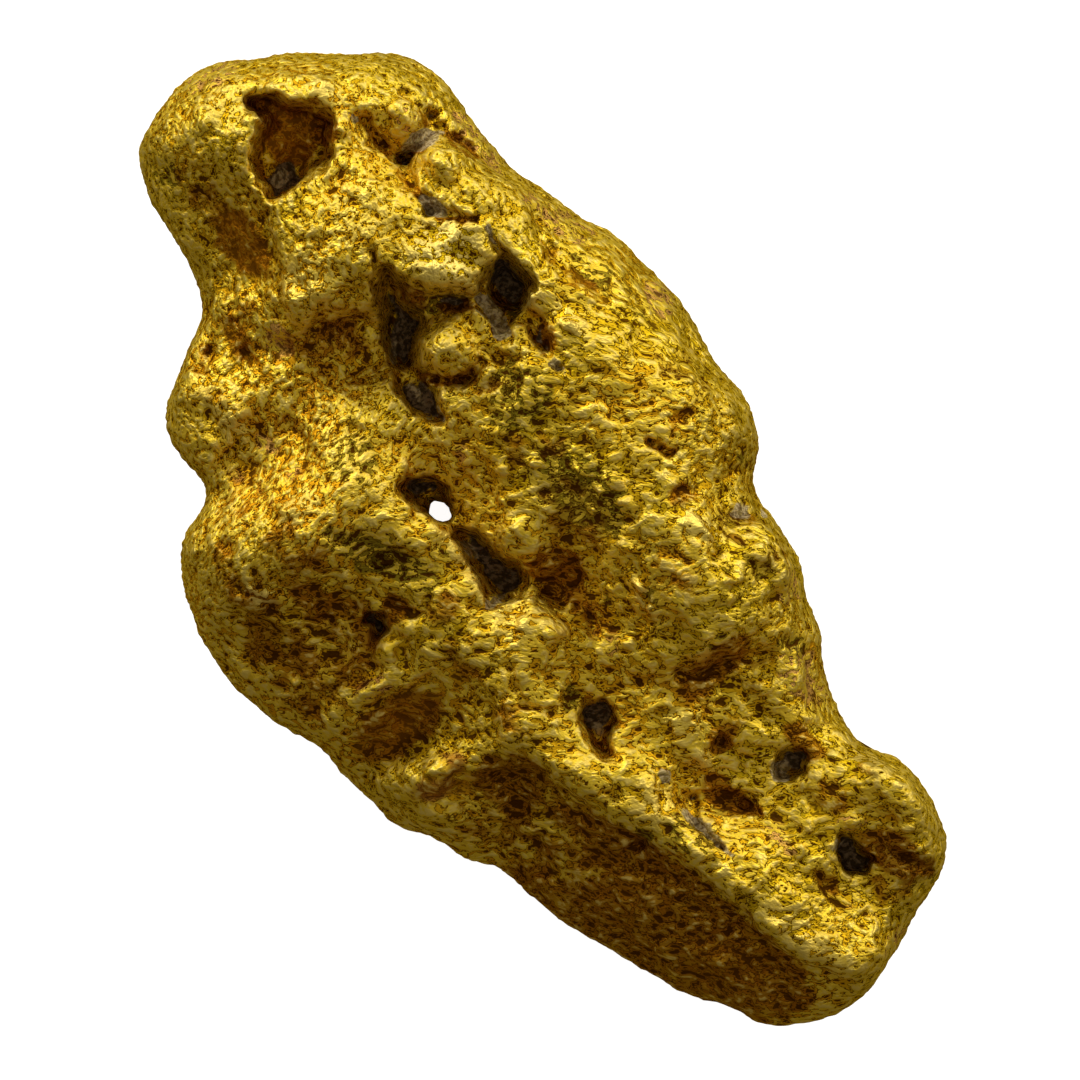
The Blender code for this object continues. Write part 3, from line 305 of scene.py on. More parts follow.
GREY_FILM = (
    (-10.8, 0.8, 0.22, 0.3, 0, 0.9), (-5.65, 0.75, 0.4, 0.15, -30, 0.6),
    (-4.4, 0.62, 0.5, 0.15, 0, 0.6), (-9.6, 4.25, 0.25, 0.6, 0, 0.9),
    (-11.05, 3.15, 0.25, 0.13, 0, 0.6), (-8.1, 3.55, 0.45, 0.22, 35, 0.8),
    (-6.6, 4.35, 0.35, 0.1, -10, 0.9), (-5.0, 3.28, 0.7, 0.25, 0, 0.8),
    (-3.1, 3.93, 0.3, 0.17, 20, 0.7), (-3.8, 0.75, 0.35, 0.25, 20, 0.4),
    (-0.55, -0.42, 0.32, 0.12, 0, 0.8), (0.92, -0.65, 0.17, 0.35, 0, 0.8),
    (2.45, 5.7, 0.25, 0.3, 0, 0.6), (2.85, 6.12, 0.2, 0.12, 0, 0.7), (4.95, -0.25, 0.3, 0.25, 0, 0.7),
    (6.8, 0.42, 0.16, 0.13, 0, 0.7), (8.35, 2.9, 0.32, 0.3, 0, 0.9), (8.4, 0.5, 0.85, 0.2, 15, 0.7),
    (10.6, 3.0, 0.2, 0.2, 0, 0.5), (9.2, 0.75, 0.3, 0.12, 20, 0.6),
)
# Painted shade: a brown film laid where the flanks, hollows and low places fall in shade.
BROWN_SHADE_PATCHES = (
    (-11.6, 1.6, 0.9, 0.75, 0, 1.0), (-12.55, 1.5, 0.5, 0.28, 35, 1.0), (-11.2, 2.4, 0.5, 0.35, 0, 0.9),
    (-10.0, -0.85, 1.1, 0.65, -6, 0.95), (-11.6, -1.0, 1.0, 0.5, 5, 0.6),
    (-8.6, -1.6, 0.5, 0.3, 0, 0.4), (-8.2, -2.3, 0.9, 0.35, -10, 0.6), (-6.8, -0.5, 0.5, 0.9, 0, 0.7),
    (-7.0, -1.2, 0.5, 0.4, 0, 0.4), (-6.5, 1.9, 0.5, 0.3, 10, 0.7), (-6.6, 0.2, 1.0, 0.5, -20, 0.5),
    (-8.0, -3.2, 0.4, 0.5, 60, 0.5), (-5.2, 3.7, 0.4, 0.25, 0, 0.7), (-3.8, 4.1, 0.45, 0.25, -15, 0.8),
    (-3.4, 2.1, 0.5, 0.8, 0, 0.45), (-1.6, 2.3, 1.0, 0.9, 0, 0.45), (-0.3, 5.75, 0.3, 0.5, 0, 0.6),
    (1.3, 4.7, 0.35, 0.6, 0, 0.6), (1.2, 1.1, 0.9, 0.75, 0, 0.85), (2.5, 1.2, 0.8, 0.4, 10, 0.6),
    (5.3, 3.0, 0.5, 1.3, 10, 0.85), (4.9, 2.0, 0.9, 0.5, 20, 0.3), (2.6, 3.5, 1.0, 0.5, 10, 0.45),
    (0.2, 2.2, 1.3, 0.9, 0, 0.5), (-0.3, -2.8, 0.5, 0.45, 0, 0.8), (0.3, -1.8, 0.5, 0.6, 0, 0.6),
    (-1.5, -4.4, 1.0, 0.6, 0, 0.7), (0.2, -4.6, 0.8, 0.6, 0, 0.7), (2.1, -4.3, 0.75, 1.4, 0, 0.95),
    (-0.5, -6.0, 2.0, 0.6, 5, 0.55), (1.6, -2.0, 0.8, 0.5, 0, 0.6), (3.3, -1.9, 0.9, 0.4, 0, 0.6),
    (5.6, -3.6, 1.3, 0.8, 45, 0.5), (7.2, -2.7, 1.6, 1.1, 15, 0.58), (9.3, -3.5, 3.4, 1.6, 20, 0.85),
    (9.2, -1.05, 4.6, 0.8, 20, 0.9), (4.8, -2.8, 1.2, 0.8, 45, 0.95), (-2.8, -4.0, 1.4, 0.8, 10, 0.5),
    (-0.7, -3.9, 1.2, 0.7, 0, 0.5), (-1.5, -5.6, 2.8, 0.7, 8, 0.6), (-4.9, -4.2, 0.8, 0.9, 20, 0.4),
    (-6.2, -1.3, 0.7, 0.6, 0, 0.4), (-8.3, 3.45, 0.9, 0.12, 10, 0.9), (-9.45, 4.1, 0.12, 0.5, 0, 0.8),
    (-7.4, 3.95, 0.6, 0.12, 45, 0.9), (12.6, -1.4, 1.7, 1.4, 40, 0.78), (9.3, -2.2, 1.9, 1.2, 20, 0.95),
    (11.4, -1.2, 1.7, 1.1, 20, 0.95), (13.0, 0.0, 0.8, 0.8, 40, 0.8), (6.2, 2.3, 0.9, 0.7, 20, 0.55),
    (3.8, -4.1, 0.6, 1.0, 0, 0.55), (3.2, 5.5, 1.3, 0.8, 10, 0.35), (-1.0, 6.3, 1.2, 0.6, 5, 0.3),
    (6.85, 2.05, 0.45, 0.4, 0, 1.0), (8.0, 1.4, 0.9, 0.5, 20, 0.8), (8.1, 3.85, 0.7, 0.4, 20, 0.75),
    (9.6, 3.6, 0.6, 0.4, 0, 0.6), (11.7, 4.1, 1.1, 0.65, 30, 1.0), (12.3, 3.6, 0.7, 0.6, 0, 0.6),
    (10.9, 4.8, 0.3, 0.4, 0, 0.5), (8.75, 1.75, 0.35, 0.2, 20, 0.9), (11.2, 2.3, 0.6, 0.35, 0, 0.5),
    (-5.5, 5.3, 0.4, 0.2, 20, 0.6), (-4.3, 5.6, 0.8, 0.25, 18, 0.6), (-5.5, -2.5, 0.7, 0.4, 20, 0.4),
    (-3.5, -5.5, 0.8, 0.4, 20, 0.5), (-2.5, -4.4, 0.6, 0.5, 0, 0.5), (-9.9, 4.7, 0.5, 0.3, 30, 0.5),
    (-9.0, 5.0, 0.8, 0.15, 10, 0.7), (-4.55, 1.15, 0.4, 0.2, 30, 0.9), (-4.2, 1.8, 0.18, 0.6, -10, 0.8),
    (-5.7, 2.6, 0.2, 0.6, -30, 0.8),
)
# Painted shade: an olive film that darkens the gold where it lies in shade.
OLIVE_SHADE_PATCHES = (
    (-0.3, 2.6, 1.8, 1.0, 20, 0.75), (-3.0, 2.6, 1.0, 1.0, 0, 0.8), (3.0, 2.2, 1.2, 0.8, 20, 0.4),
    (-6.0, 2.35, 0.3, 0.8, -30, 0.9), (8.3, 0.1, 0.9, 0.45, 20, 0.8), (3.4, 4.9, 1.4, 0.6, 10, 0.4),
    (-1.0, 6.3, 1.2, 0.5, 5, 0.35), (12.0, 4.2, 1.0, 0.6, 20, 0.9), (-4.85, 3.75, 0.3, 0.4, 60, 0.8),
    (-3.6, 2.8, 0.5, 0.25, -25, 0.8), (-1.7, -2.5, 0.5, 0.7, 0, 0.6), (-1.3, -2.15, 1.9, 0.5, 30, 0.7),
    (-4.2, -1.6, 1.2, 0.7, 0, 0.6), (-4.0, 6.1, 1.6, 0.5, 15, 0.55), (-2.5, -3.1, 0.5, 0.4, 0, 0.7),
    (5.9, 4.9, 0.45, 0.35, 40, 0.7), (7.9, -0.9, 0.45, 0.35, 0, 0.8), (3.9, -0.4, 0.4, 0.4, 0, 0.6),
    (4.9, 3.4, 0.3, 0.4, 0, 0.7), (-1.8, 4.2, 1.0, 0.8, 0, 0.4), (1.6, 6.6, 0.5, 0.4, 0, 0.5),
    (-12.6, -1.5, 0.8, 0.4, 0, 0.5), (3.2, 5.4, 1.3, 0.5, 10, 0.5), (0.3, 2.8, 0.9, 0.5, 0, 0.4),
    (-10.4, 4.9, 0.6, 0.3, 0, 0.5), (-9.3, 0.2, 0.6, 0.4, 0, 0.3), (8.9, 2.9, 0.6, 0.4, 0, 0.4),
    (-0.5, -1.3, 1.2, 0.4, 0, 0.4), (7.4, 2.9, 0.7, 0.4, 0, 0.4), (11.5, 1.9, 0.7, 0.4, 0, 0.3),
)
# Partly a paler tone, partly a painted reflection of the pale floor on the rims.
TAN_AND_REFLECTION = (
    (-3.0, 6.9, 0.6, 0.4, 0, 0.8), (-6.0, 6.0, 1.5, 0.35, 20, 0.5), (-8.9, 5.35, 1.2, 0.3, 8, 0.6),
    (-13.9, 0.8, 0.35, 1.0, -10, 0.6), (6.5, 4.6, 0.8, 0.5, -30, 0.8), (4.6, 5.6, 0.6, 0.4, -10, 0.6),
    (7.3, 4.6, 1.0, 0.35, -10, 0.5), (-5.0, -3.5, 1.0, 1.2, 0, 0.35), (-7.6, -1.5, 0.9, 0.35, 5, 0.5),
    (1.0, -4.4, 0.3, 0.8, 0, 0.6), (3.8, -4.2, 0.7, 1.1, 0, 0.4), (9.6, 2.0, 0.8, 0.3, 5, 0.5),
    (13.6, 2.9, 0.4, 0.7, 30, 0.4), (-10.2, 4.25, 0.5, 0.3, 0, 0.6), (-2.0, 0.6, 1.0, 0.6, 0, 0.3),
    (10.4, 3.7, 0.2, 0.5, -30, 0.6), (12.4, 2.6, 0.8, 0.4, 20, 0.3), (3.2, 1.0, 0.8, 0.5, 0, 0.3),
)
# Painted highlights: patches where the crests are painted pale, as if lit.
PAINTED_HIGHLIGHTS = (
    (-7.0, 3.2, 1.1, 0.9, 40, 1.0), (-8.3, 0.0, 0.8, 0.8, 0, 0.4), (-13.0, 0.8, 0.7, 0.7, 0, 0.4),
    (-12.0, 2.9, 0.5, 0.35, 20, 0.7), (-12.25, 1.25, 0.25, 0.18, 30, 1.0),
    (-8.9, 2.0, 0.9, 0.9, 0, 0.4), (-6.2, 3.2, 0.5, 0.4, 0, 0.8), (-4.75, 4.3, 0.3, 0.25, 0, 0.9),
    (-3.8, 4.8, 0.7, 0.3, 0, 0.6), (2.2, 4.6, 0.8, 0.3, 20, 0.7), (2.9, 2.5, 0.6, 0.2, 0, 0.8),
    (4.8, 2.9, 0.2, 0.3, 0, 0.7), (-4.0, -1.6, 1.6, 0.6, 0, 0.25), (-3.8, -3.3, 0.5, 0.6, 0, 0.5),
    (-0.3, -0.75, 1.1, 0.25, 0, 0.6), (-2.5, -5.4, 0.6, 0.25, 20, 0.8), (1.6, -0.6, 0.6, 0.7, 0, 0.4),
    (7.2, -0.2, 0.8, 0.5, 0, 0.5), (12.0, 1.1, 1.6, 0.4, 15, 0.6), (9.4, 4.8, 0.7, 0.35, 20, 0.6),
    (7.1, 1.4, 0.4, 0.3, 0, 0.7), (-6.8, -3.6, 1.4, 0.35, 0, 0.5), (6.0, 1.5, 0.5, 0.5, 0, 0.4),
    (-4.6, -4.9, 0.7, 0.4, 0, 0.15),
)
WORN_SMOOTH = (
    (-10.0, -0.9, 1.3, 0.6, -6, 0.9), (-11.6, 1.5, 0.9, 0.8, 0, 0.9), (2.0, -4.0, 0.6, 1.8, 0, 0.7),
    (-7.5, -1.5, 0.9, 0.3, 5, 0.6), (9.5, 3.0, 0.5, 0.3, 0, 0.7), (-4.2, 5.6, 0.7, 0.25, 15, 0.7),
    (0.35, -3.2, 0.4, 0.9, 0, 0.6), (-8.0, -2.4, 0.8, 0.3, 0, 0.5), (-3.5, 6.6, 2.5, 0.6, 8, 0.4),
    (6.6, 4.5, 0.9, 0.5, -20, 0.5), (12.0, -0.9, 1.8, 1.0, 20, 0.4), (8.3, -2.4, 2.0, 0.9, 15, 0.3),
    (4.0, -4.4, 0.8, 1.0, 0, 0.8), (-4.8, -3.2, 0.9, 1.1, 0, 0.3),
)

# Rounds of smoothing for three ever plainer hulls. The depth of a place under them, in millimetres,
# tells cavities and dips from crests, and deep hollows and the places of grit from the rest. Cavities,
# dips and deep hollows get painted shade.
HULL_ROUNDS = (10, 40, 110)
CAVITY_DEPTH, DIP_DEPTH = 0.12, 0.3
HOLLOW_SHADE_DEPTHS = (0.3, 0.9)
GRIT_DEPTHS = (0.12, 0.35)

# The value of an attribute that runs from 0 to 1 where it is neither low nor high.
MIDDLE = 0.5

# How the gold's colour and its stains vary: contrast, size in millimetres and seed, and how much
# warmer the colour gets with each millimetre towards the near side.
WARMTH, WARMTH_SIZE, WARMTH_SEED = 0.9, 2.6, 41.0
STAIN, STAIN_SIZE, STAIN_SEED = 0.8, 0.6, 52.0
WARMER_NEAR = 0.05

# Colours of the gold and of what lies on it, of its painted light and shade, and the tint of its
# reflections at a grazing angle.
# Painted light: the flakes' crests are painted a lighter yellow, as if lit.
LIT_CREST_GOLD = (0.93, 0.69, 0.055, 1)
# Painted highlight: the pale gold of lit patches and of glints on the highest crests.
HIGHLIGHT_GOLD = (0.95, 0.77, 0.21, 1)
GREEN_GOLD = (0.78, 0.54, 0.012, 1)
WARM_GOLD = (0.80, 0.42, 0.012, 1)
# Partly a paler tone, partly a painted reflection of the pale floor on the rims.
TAN_REFLECTION_GOLD = (0.82, 0.50, 0.12, 1)
# Painted shade: an olive colour that darkens the gold where it lies in shade.
OLIVE_SHADE = (0.30, 0.24, 0.02, 1)
# Painted shade: a brown that darkens shaded flanks and low places, and the deep hollows.
BROWN_SHADE = (0.42, 0.15, 0.006, 1)
# Painted shade in the dark outlines and gaps between the flakes.
GAP_SHADE = (0.11, 0.036, 0.002, 1)
GREY_DUST = (0.58, 0.48, 0.28, 1)
DARK_DUST = (0.17, 0.12, 0.06, 1)
BLACK_GRIT = (0.035, 0.02, 0.012, 1)
BROWN_GRIT = (0.2, 0.14, 0.085, 1)
EDGE_TINT = (1.0, 0.75, 0.17, 1)

# The thin flakes of the surface come from one noise: its lumps in a millimetre, its detail and its
# roughness. Cavities, dips and the films of painted shade lower a place in it, so that more of the
# painted shade of the gaps falls there.
FLAKES = (5.8, 2.0, 0.5)
CAVITY_SHADE_DROP, DIP_SHADE_DROP, SHADE_FILM_DROP = 0.13, 0.1, 0.05

# Relief of the flakes: the height of the step at their edge in metres, how many such steps the
# whole noise rises, and the strength where the gold is unworn and worn.
FLAKE_STEP = 0.00002
FLAKE_SWELL = 6.5
BUMP_UNWORN, BUMP_WORN = 0.82, 0.38

# Levels in the noise, each from none to all: the step, the dark outline of painted shade by its
# distance from its middle, the gaps of painted shade, the yellow crests of painted light, the
# crests of the painted highlight patches and the highest crests anywhere, which get painted glints.
STEP = (0.345, 0.395)
SHADE_OUTLINE_MIDDLE, SHADE_OUTLINE_SIDES = 0.36, (0.029, 0.007)
SHADED_GAPS = (0.27, 0.23)
LIT_CRESTS = (0.365, 0.395)
HIGHLIGHT_CRESTS = (0.375, 0.425)
GLINT_CRESTS, GLINT_SHARE = (0.46, 0.55), 0.7

# How dark the painted shade of the outlines is where the gold is unworn and worn, how much of the
# lit crests shows through the brown painted shade, and how much the olive and brown painted shade
# and the grey film hide.
GAP_SHADE_UNWORN, GAP_SHADE_WORN = 0.95, 0.6
LIT_CREST_UNDER_SHADE = 0.18
FILM_COVER = 0.85

# How much stains break up the edges of the films and of the painted shade, and from where to where
# a film and the brown painted shade set in.
BREAK_UP = 0.5
FILM_EDGE = (0.35, 0.6)
BROWN_SHADE_EDGE = (0.2, 0.8)

# Specks in the grit and dust: their noise, and the levels between which they turn lighter.
SPECKS = (9.0, 2.0, 0.6)
SPECK_LEVELS = (0.42, 0.62)

# Roughness from unstained to stained gold, the stains' levels for it, how much rougher gaps and
# dull places are, and how dull the grey dust is.
ROUGHNESS = (0.53, 0.61)
STAIN_LEVELS = (0.3, 0.7)
DULL_ROUGHER = 0.15
DUST_DULLNESS = 0.9

# Camera: straight above, turned so that the head points up and to the left in the picture. The
# angle is in degrees, and the place that it looks at and the width that it sees in millimetres.
VIEW_TURN = 56.0
VIEW_CENTRE = (0.249, 1.143, 3.0)
VIEW_WIDTH = 27.0
LENS = 400.0
SENSOR = 36.0
CLIP_START, CLIP_END = 0.001, 20.0

# Soft lights: direction in the picture counter-clockwise from its right, height above the
# horizon, both in degrees, width and height in metres, power and colour.
LIGHT_DISTANCE = 0.5
SOFTBOXES = {
    "far left light": (120, 15, 0.26, 0.22, 1.46, (1.0, 0.96, 0.86)),
    "far right light": (60, 15, 0.26, 0.22, 0.85, (1.0, 0.96, 0.86)),
    "right light": (30, 15, 0.25, 0.22, 0.52, (1.0, 0.94, 0.84)),
    "left light": (155, 15, 0.25, 0.22, 0.15, (1.0, 0.95, 0.86)),
    "near light": (300, 55, 0.25, 0.22, 0.1, (1.0, 0.93, 0.84)),
    "light above": (90, 85, 0.25, 0.22, 0.12, (1.0, 0.95, 0.86)),
}
WORLD_COLOUR = (1, 0.86, 0.7, 1)
WORLD_STRENGTH = 0.14

# The pale floor, in metres. It glows, so that it is evenly white round the nugget.
FLOOR_HALF_WIDTH = 2.0
FLOOR_COLOUR = (0.9, 0.9, 0.9, 1)
FLOOR_ROUGHNESS = 0.9
FLOOR_GLOW = (1, 1, 1, 1)
FLOOR_GLOW_STRENGTH = 0.93


def coordinates(mesh):
    points = np.zeros(len(mesh.vertices) * 3)
    mesh.vertices.foreach_get("co", points)
    return points.reshape(-1, 3)


def set_coordinates(mesh, points):
    mesh.vertices.foreach_set("co", points.ravel())
    mesh.update()


def normals(mesh):
    found = np.zeros(len(mesh.vertices) * 3)
    mesh.vertex_normals.foreach_get("vector", found)
    return found.reshape(-1, 3)


def edges(mesh):
    found = np.zeros(len(mesh.edges) * 2, int)
    mesh.edges.foreach_get("vertices", found)
    return found.reshape(-1, 2)


def evaluated(target):
    """A copy of the object's mesh with its modifiers applied."""
    depsgraph = bpy.context.evaluated_depsgraph_get()
    return bpy.data.meshes.new_from_object(target.evaluated_get(depsgraph))


def replace_mesh(target, mesh):
    target.modifiers.clear()
    target.data = mesh


def remesh(target, cell):
    modifier = target.modifiers.new("One skin", "REMESH")
    modifier.mode = "VOXEL"
    modifier.voxel_size = cell
    replace_mesh(target, evaluated(target))


def decimate(target, triangles):
    target.data.calc_loop_triangles()
    share = triangles / len(target.data.loop_triangles)
    if share < 1:
        modifier = target.modifiers.new("Fewer faces", "DECIMATE")
        modifier.ratio = share
        replace_mesh(target, evaluated(target))


def neighbour_mean(values, links):
    """The mean of each point's neighbours."""
    total = np.zeros_like(values)
    for column in range(values.shape[1]):
        total[:, column] = np.bincount(links[:, 0], values[links[:, 1], column], len(values))
        total[:, column] += np.bincount(links[:, 1], values[links[:, 0], column], len(values))
    count = np.bincount(links.ravel(), minlength=len(values))
    return total / np.maximum(count, 1)[:, None]


def smoothed(values, links, times):
    """The values after rounds in which each goes half-way to the mean of its neighbours."""
    for _ in range(times):
        values = values + 0.5 * (neighbour_mean(values, links) - values)
    return values


def ramp(values, low, high):
    """From 0 at low to 1 at high, with no corner at either end."""
    share = np.clip((values - low) / (high - low), 0, 1)
    return share * share * (3 - 2 * share)


def noise_places(points, size, seed):
    """The points in sizes of the noise's lumps, in a part of the noise that the seed picks."""
    offset = Vector([seed * share for share in SEED_DIRECTION])
    return (Vector(point) / size + offset for point in points)


def clouds(points, size, seed, octaves=2):
    """Smooth noise from about -1 to 1, with lumps of the given size."""
    places = noise_places(points, size, seed)
    return np.array([noise.fractal(place, FALL_OFF, LACUNARITY, octaves) for place in places])


def wander(points, size, seed):
    """Where noise carries each point, as three offsets."""
    seeds = [seed + shift for shift in WANDER_SHIFTS]
    return np.column_stack([clouds(points, size, each, octaves=1) for each in seeds])


def pebbles(points, size, seed):
    """Rounded bumps side by side, 1 on their tops and 0 in the gaps between them."""
    tops = []
    for place in noise_places(points, size, seed):
        nearest, second = noise.voronoi(place)[0][:2]
        tops.append(min(1.0, second - nearest))
    return np.array(tops)


def ellipse(places, x, y, length, width, turn):
    """How far each place is from the middle, where 1 is the ellipse's edge."""
    angle = math.radians(turn)
    east, north = places[:, 0] - x, places[:, 1] - y
    along = (east * math.cos(angle) + north * math.sin(angle)) / length
    aside = (north * math.cos(angle) - east * math.sin(angle)) / width
    return np.hypot(along, aside)


def line_distance(places, start, end):
    along = np.array(end) - np.array(start)
    share = np.clip(((places - start) @ along) / (along @ along), 0, 1)
    gap = places - start - share[:, None] * along
    return np.hypot(gap[:, 0], gap[:, 1])


def path_distance(places, path):
    return np.min([line_distance(places, *ends) for ends in zip(path, path[1:])], axis=0)


def outline_distance(places, outline):
    """Distance from each place to a closed outline, less than nothing inside it."""
    inside = np.zeros(len(places), bool)
    for start, end in zip(outline, outline[1:] + outline[:1]):
        if start[1] != end[1]:
            crosses = (start[1] > places[:, 1]) != (end[1] > places[:, 1])
            share = (places[:, 1] - start[1]) / (end[1] - start[1])
            inside ^= crosses & (places[:, 0] < start[0] + share * (end[0] - start[0]))
    distance = path_distance(places, outline + outline[:1])
    return np.where(inside, -distance, distance)


def drop_share(places, path, reach):
    """How much of a scarp's drop each place takes: most at the foot of its edge, none behind it."""
    path = np.array(path)
    best, side = np.full(len(places), np.inf), np.zeros(len(places))
    for start, end in zip(path, path[1:]):
        distance = line_distance(places, start, end)
        along, offset = end - start, places - start
        turn = along[1] * offset[:, 0] - along[0] * offset[:, 1]
        side = np.where(distance < best, turn, side)
        best = np.minimum(distance, best)
    to_end = np.minimum(np.hypot(*(places - path[0]).T), np.hypot(*(places - path[-1]).T))
    foot = ramp(np.where(side > 0, best, -best), *SCARP_EDGE) * np.clip(1 - best / reach, 0, 1)
    return foot * ramp(to_end, 0.0, SCARP_FADE)


def near(places, outline, reach):
    """The numbers of the places in the box round an outline, widened by reach."""
    low, high = np.min(outline, axis=0) - reach, np.max(outline, axis=0) + reach
    return np.flatnonzero(((places > low) & (places < high)).all(axis=1))


def ragged(points):
    """The x and y of each point, moved a little so that edges drawn with them are ragged."""
    moved = WANDER * wander(points, WANDER_SIZE, WANDER_SEED)
    moved += WIDE_WANDER * wander(points, WIDE_WANDER_SIZE, WIDE_WANDER_SEED)
    return (points + moved)[:, :2]


def nugget_piece(cad):
    """A copy of the CAD solid in millimetres, with its facets worn smooth and its relief added."""
    piece = cad.copy()
    piece.data = cad.data.copy()
    piece.name = "gold_nugget"
    for key in list(piece.keys()):
        del piece[key]
    piece.parent = None
    piece.data.transform(Matrix.Scale(1 / MM, 4))
    piece.data.materials.clear()
    bpy.context.scene.collection.objects.link(piece)
    remesh(piece, FIRST_CELL)
    set_coordinates(piece.data, smoothed(coordinates(piece.data), edges(piece.data), FACET_SMOOTHING))
    add_lumps(piece.data)
    add_forms(piece.data)
    remesh(piece, SECOND_CELL)
    add_grain(piece.data)
    decimate(piece, MOST_TRIANGLES)
    return piece


def add_lumps(mesh):
    """Uneven wear, weaker on the steep sides so that the outline keeps its place."""
    points, facing = coordinates(mesh), normals(mesh)
    relief = np.zeros(len(points))
    for size, depth, seed in CLOUDS:
        relief += depth * clouds(points, size, seed)
    for size, depth, seed in PEBBLES:
        tops = pebbles(points, size, seed)
        relief += depth * (tops - tops.mean())
    relief *= SIDE_SHARE + (1 - SIDE_SHARE) * ramp(np.abs(facing[:, 2]), *SIDE_FACING)
    set_coordinates(mesh, points + relief[:, None] * facing)


def add_forms(mesh):
    """The crevices, lumps and dents that the top shows, then the mouths of its deep hollows."""
    points, facing = coordinates(mesh), normals(mesh)
    places, upper = ragged(points), ramp(facing[:, 2], *UPPER_FACING)
    lift = np.zeros(len(points))
    for x, y, length, width, turn, height in SWELLS:
        found = near(places, ((x, y),), max(length, width))
        distance = ellipse(places[found], x, y, length, width, turn)
        lift[found] += height * np.clip(1 - distance ** 2, 0, 1)
    for path, width, depth in CREVICES:
        found = near(places, path, width)
        distance = path_distance(places[found], path)
        lift[found] -= depth * np.clip(1 - distance / width, 0, 1)
    for path, reach, depth in SCARPS:
        found = near(places, path, reach)
        lift[found] -= depth * drop_share(places[found], path, reach)
    points[:, 2] += lift * upper
    for outline, floor in FILLED.values():
        found = near(places, outline, FILL_REACH)
        found = found[upper[found] > 0]
        distance = outline_distance(places[found], outline)
        floor_here = np.where(distance < 0, floor, floor + WALL_STEEPNESS * -distance)
        points[found, 2] = np.maximum(points[found, 2], floor_here)
    for outline, floor in HOLLOWS.values():
        found = near(places, outline, WALL_REACH)
        distance = outline_distance(places[found], outline)
        ceiling = floor + WALL_STEEPNESS * np.clip(distance + WALL_INSET, 0, None)
        points[found, 2] = np.minimum(points[found, 2], ceiling)
    set_coordinates(mesh, widened_hole(points))


def widened_hole(points):
    """The walls of the through hole pushed out to its real size."""
    middle, turn = np.array(HOLE_PLACE), math.radians(HOLE_TURN)
    offsets = points[:, :2] - middle
    reach = np.hypot(offsets[:, 0], offsets[:, 1])
    angle = np.arctan2(offsets[:, 1], offsets[:, 0]) - turn
    length, width = HOLE_REACH
    edge = length * width / np.hypot(width * np.cos(angle), length * np.sin(angle))
    pushed = edge + (HOLE_WALL - edge) * reach / HOLE_WALL
    share = np.where(reach < HOLE_WALL, pushed / np.maximum(reach, LEAST_REACH), 1.0)
    moved = points.copy()
    moved[:, :2] = middle + offsets * share[:, None]
    return moved


def strand_share(points):
    """How far the grain is drawn out into strands: not at all on the head, fully past the middle."""
    return ramp(points[:, 0], STRAND_START, STRAND_FULL)


def grain_places(points):
    """The points with their grain's own distortions, so that cells become curling strands."""
    turn = math.radians(VIEW_TURN)
    strand = np.array((math.cos(turn), math.sin(turn), 0.0))
    along = points @ strand
    shorter = STRAND_STRETCH * strand_share(points) * along
    curl = CURL * wander(points, CURL_SIZE, CURL_SEED)
    return points - shorter[:, None] * strand + curl


def add_grain(mesh):
    """The grain's bumps, lower where the gold is worn smooth."""
    points = coordinates(mesh)
    grain = pebbles(grain_places(points), GRAIN_SIZE, GRAIN_SEED)
    left = 1 - GRAIN_WORN_OFF * patches(points[:, :2], WORN_SMOOTH)
    relief = GRAIN_DEPTH * (grain - grain.mean()) * left
    set_coordinates(mesh, points + relief[:, None] * normals(mesh))


def patches(places, spots):
    """How strongly each place is covered by the spots, each soft at its edge."""
    cover = np.zeros(len(places))
    for x, y, length, width, turn, strength in spots:
        distance = ellipse(places, x, y, length, width, turn)
        cover = np.maximum(cover, strength * (1 - ramp(distance, *PATCH_FADE)))
    return cover


def add_attribute(mesh, name, values):
    attribute = mesh.attributes.new(name, "FLOAT", "POINT")
    attribute.data.foreach_set("value", np.clip(values, 0, 1).astype(np.float32))


def add_masks(mesh):
    """What the finish depends on: grain, cavities and hollows, films, painted light and shade, grit,
    stains and wear.
    """
    points, facing, links = coordinates(mesh), normals(mesh), edges(mesh)
    grain = mesh.attributes.new("grain_place", "FLOAT_VECTOR", "POINT")
    grain.data.foreach_set("vector", grain_places(points).ravel().astype(np.float32))
    hull, depths = points, []
    for rounds in HULL_ROUNDS:
        hull = smoothed(hull, links, rounds)
        depths.append(((hull - points) * facing).sum(axis=1))
    fine, middle, wide = depths
    add_attribute(mesh, "cavity", MIDDLE + fine / CAVITY_DEPTH)
    add_attribute(mesh, "dip", MIDDLE + middle / DIP_DEPTH)
    # Deep hollows, which are painted in shade.
    add_attribute(mesh, "hollow_shade", ramp(wide, *HOLLOW_SHADE_DEPTHS))
    places, upper = ragged(points), ramp(facing[:, 2], *PATCH_FACING)
    # Brown and olive: painted shade. Tan: partly painted floor reflection. Bright: painted highlights.
    for name, spots in (
        ("grey_film", GREY_FILM), ("brown_shade", BROWN_SHADE_PATCHES), ("olive_shade", OLIVE_SHADE_PATCHES), ("tan", TAN_AND_REFLECTION),
        ("painted_highlight", PAINTED_HIGHLIGHTS), ("worn", WORN_SMOOTH),
    ):
        add_attribute(mesh, name, patches(places, spots) * upper)
    grit = patches(places, DARK_GRIT) * upper * ramp(wide, *GRIT_DEPTHS)
    add_attribute(mesh, "dark_grit", grit)
    warmth = MIDDLE + WARMTH * clouds(points, WARMTH_SIZE, WARMTH_SEED, octaves=3)
    add_attribute(mesh, "warmth", warmth - WARMER_NEAR * points[:, 1])
    stain = MIDDLE + STAIN * clouds(points, STAIN_SIZE, STAIN_SEED, octaves=3)
    add_attribute(mesh, "stain", stain)


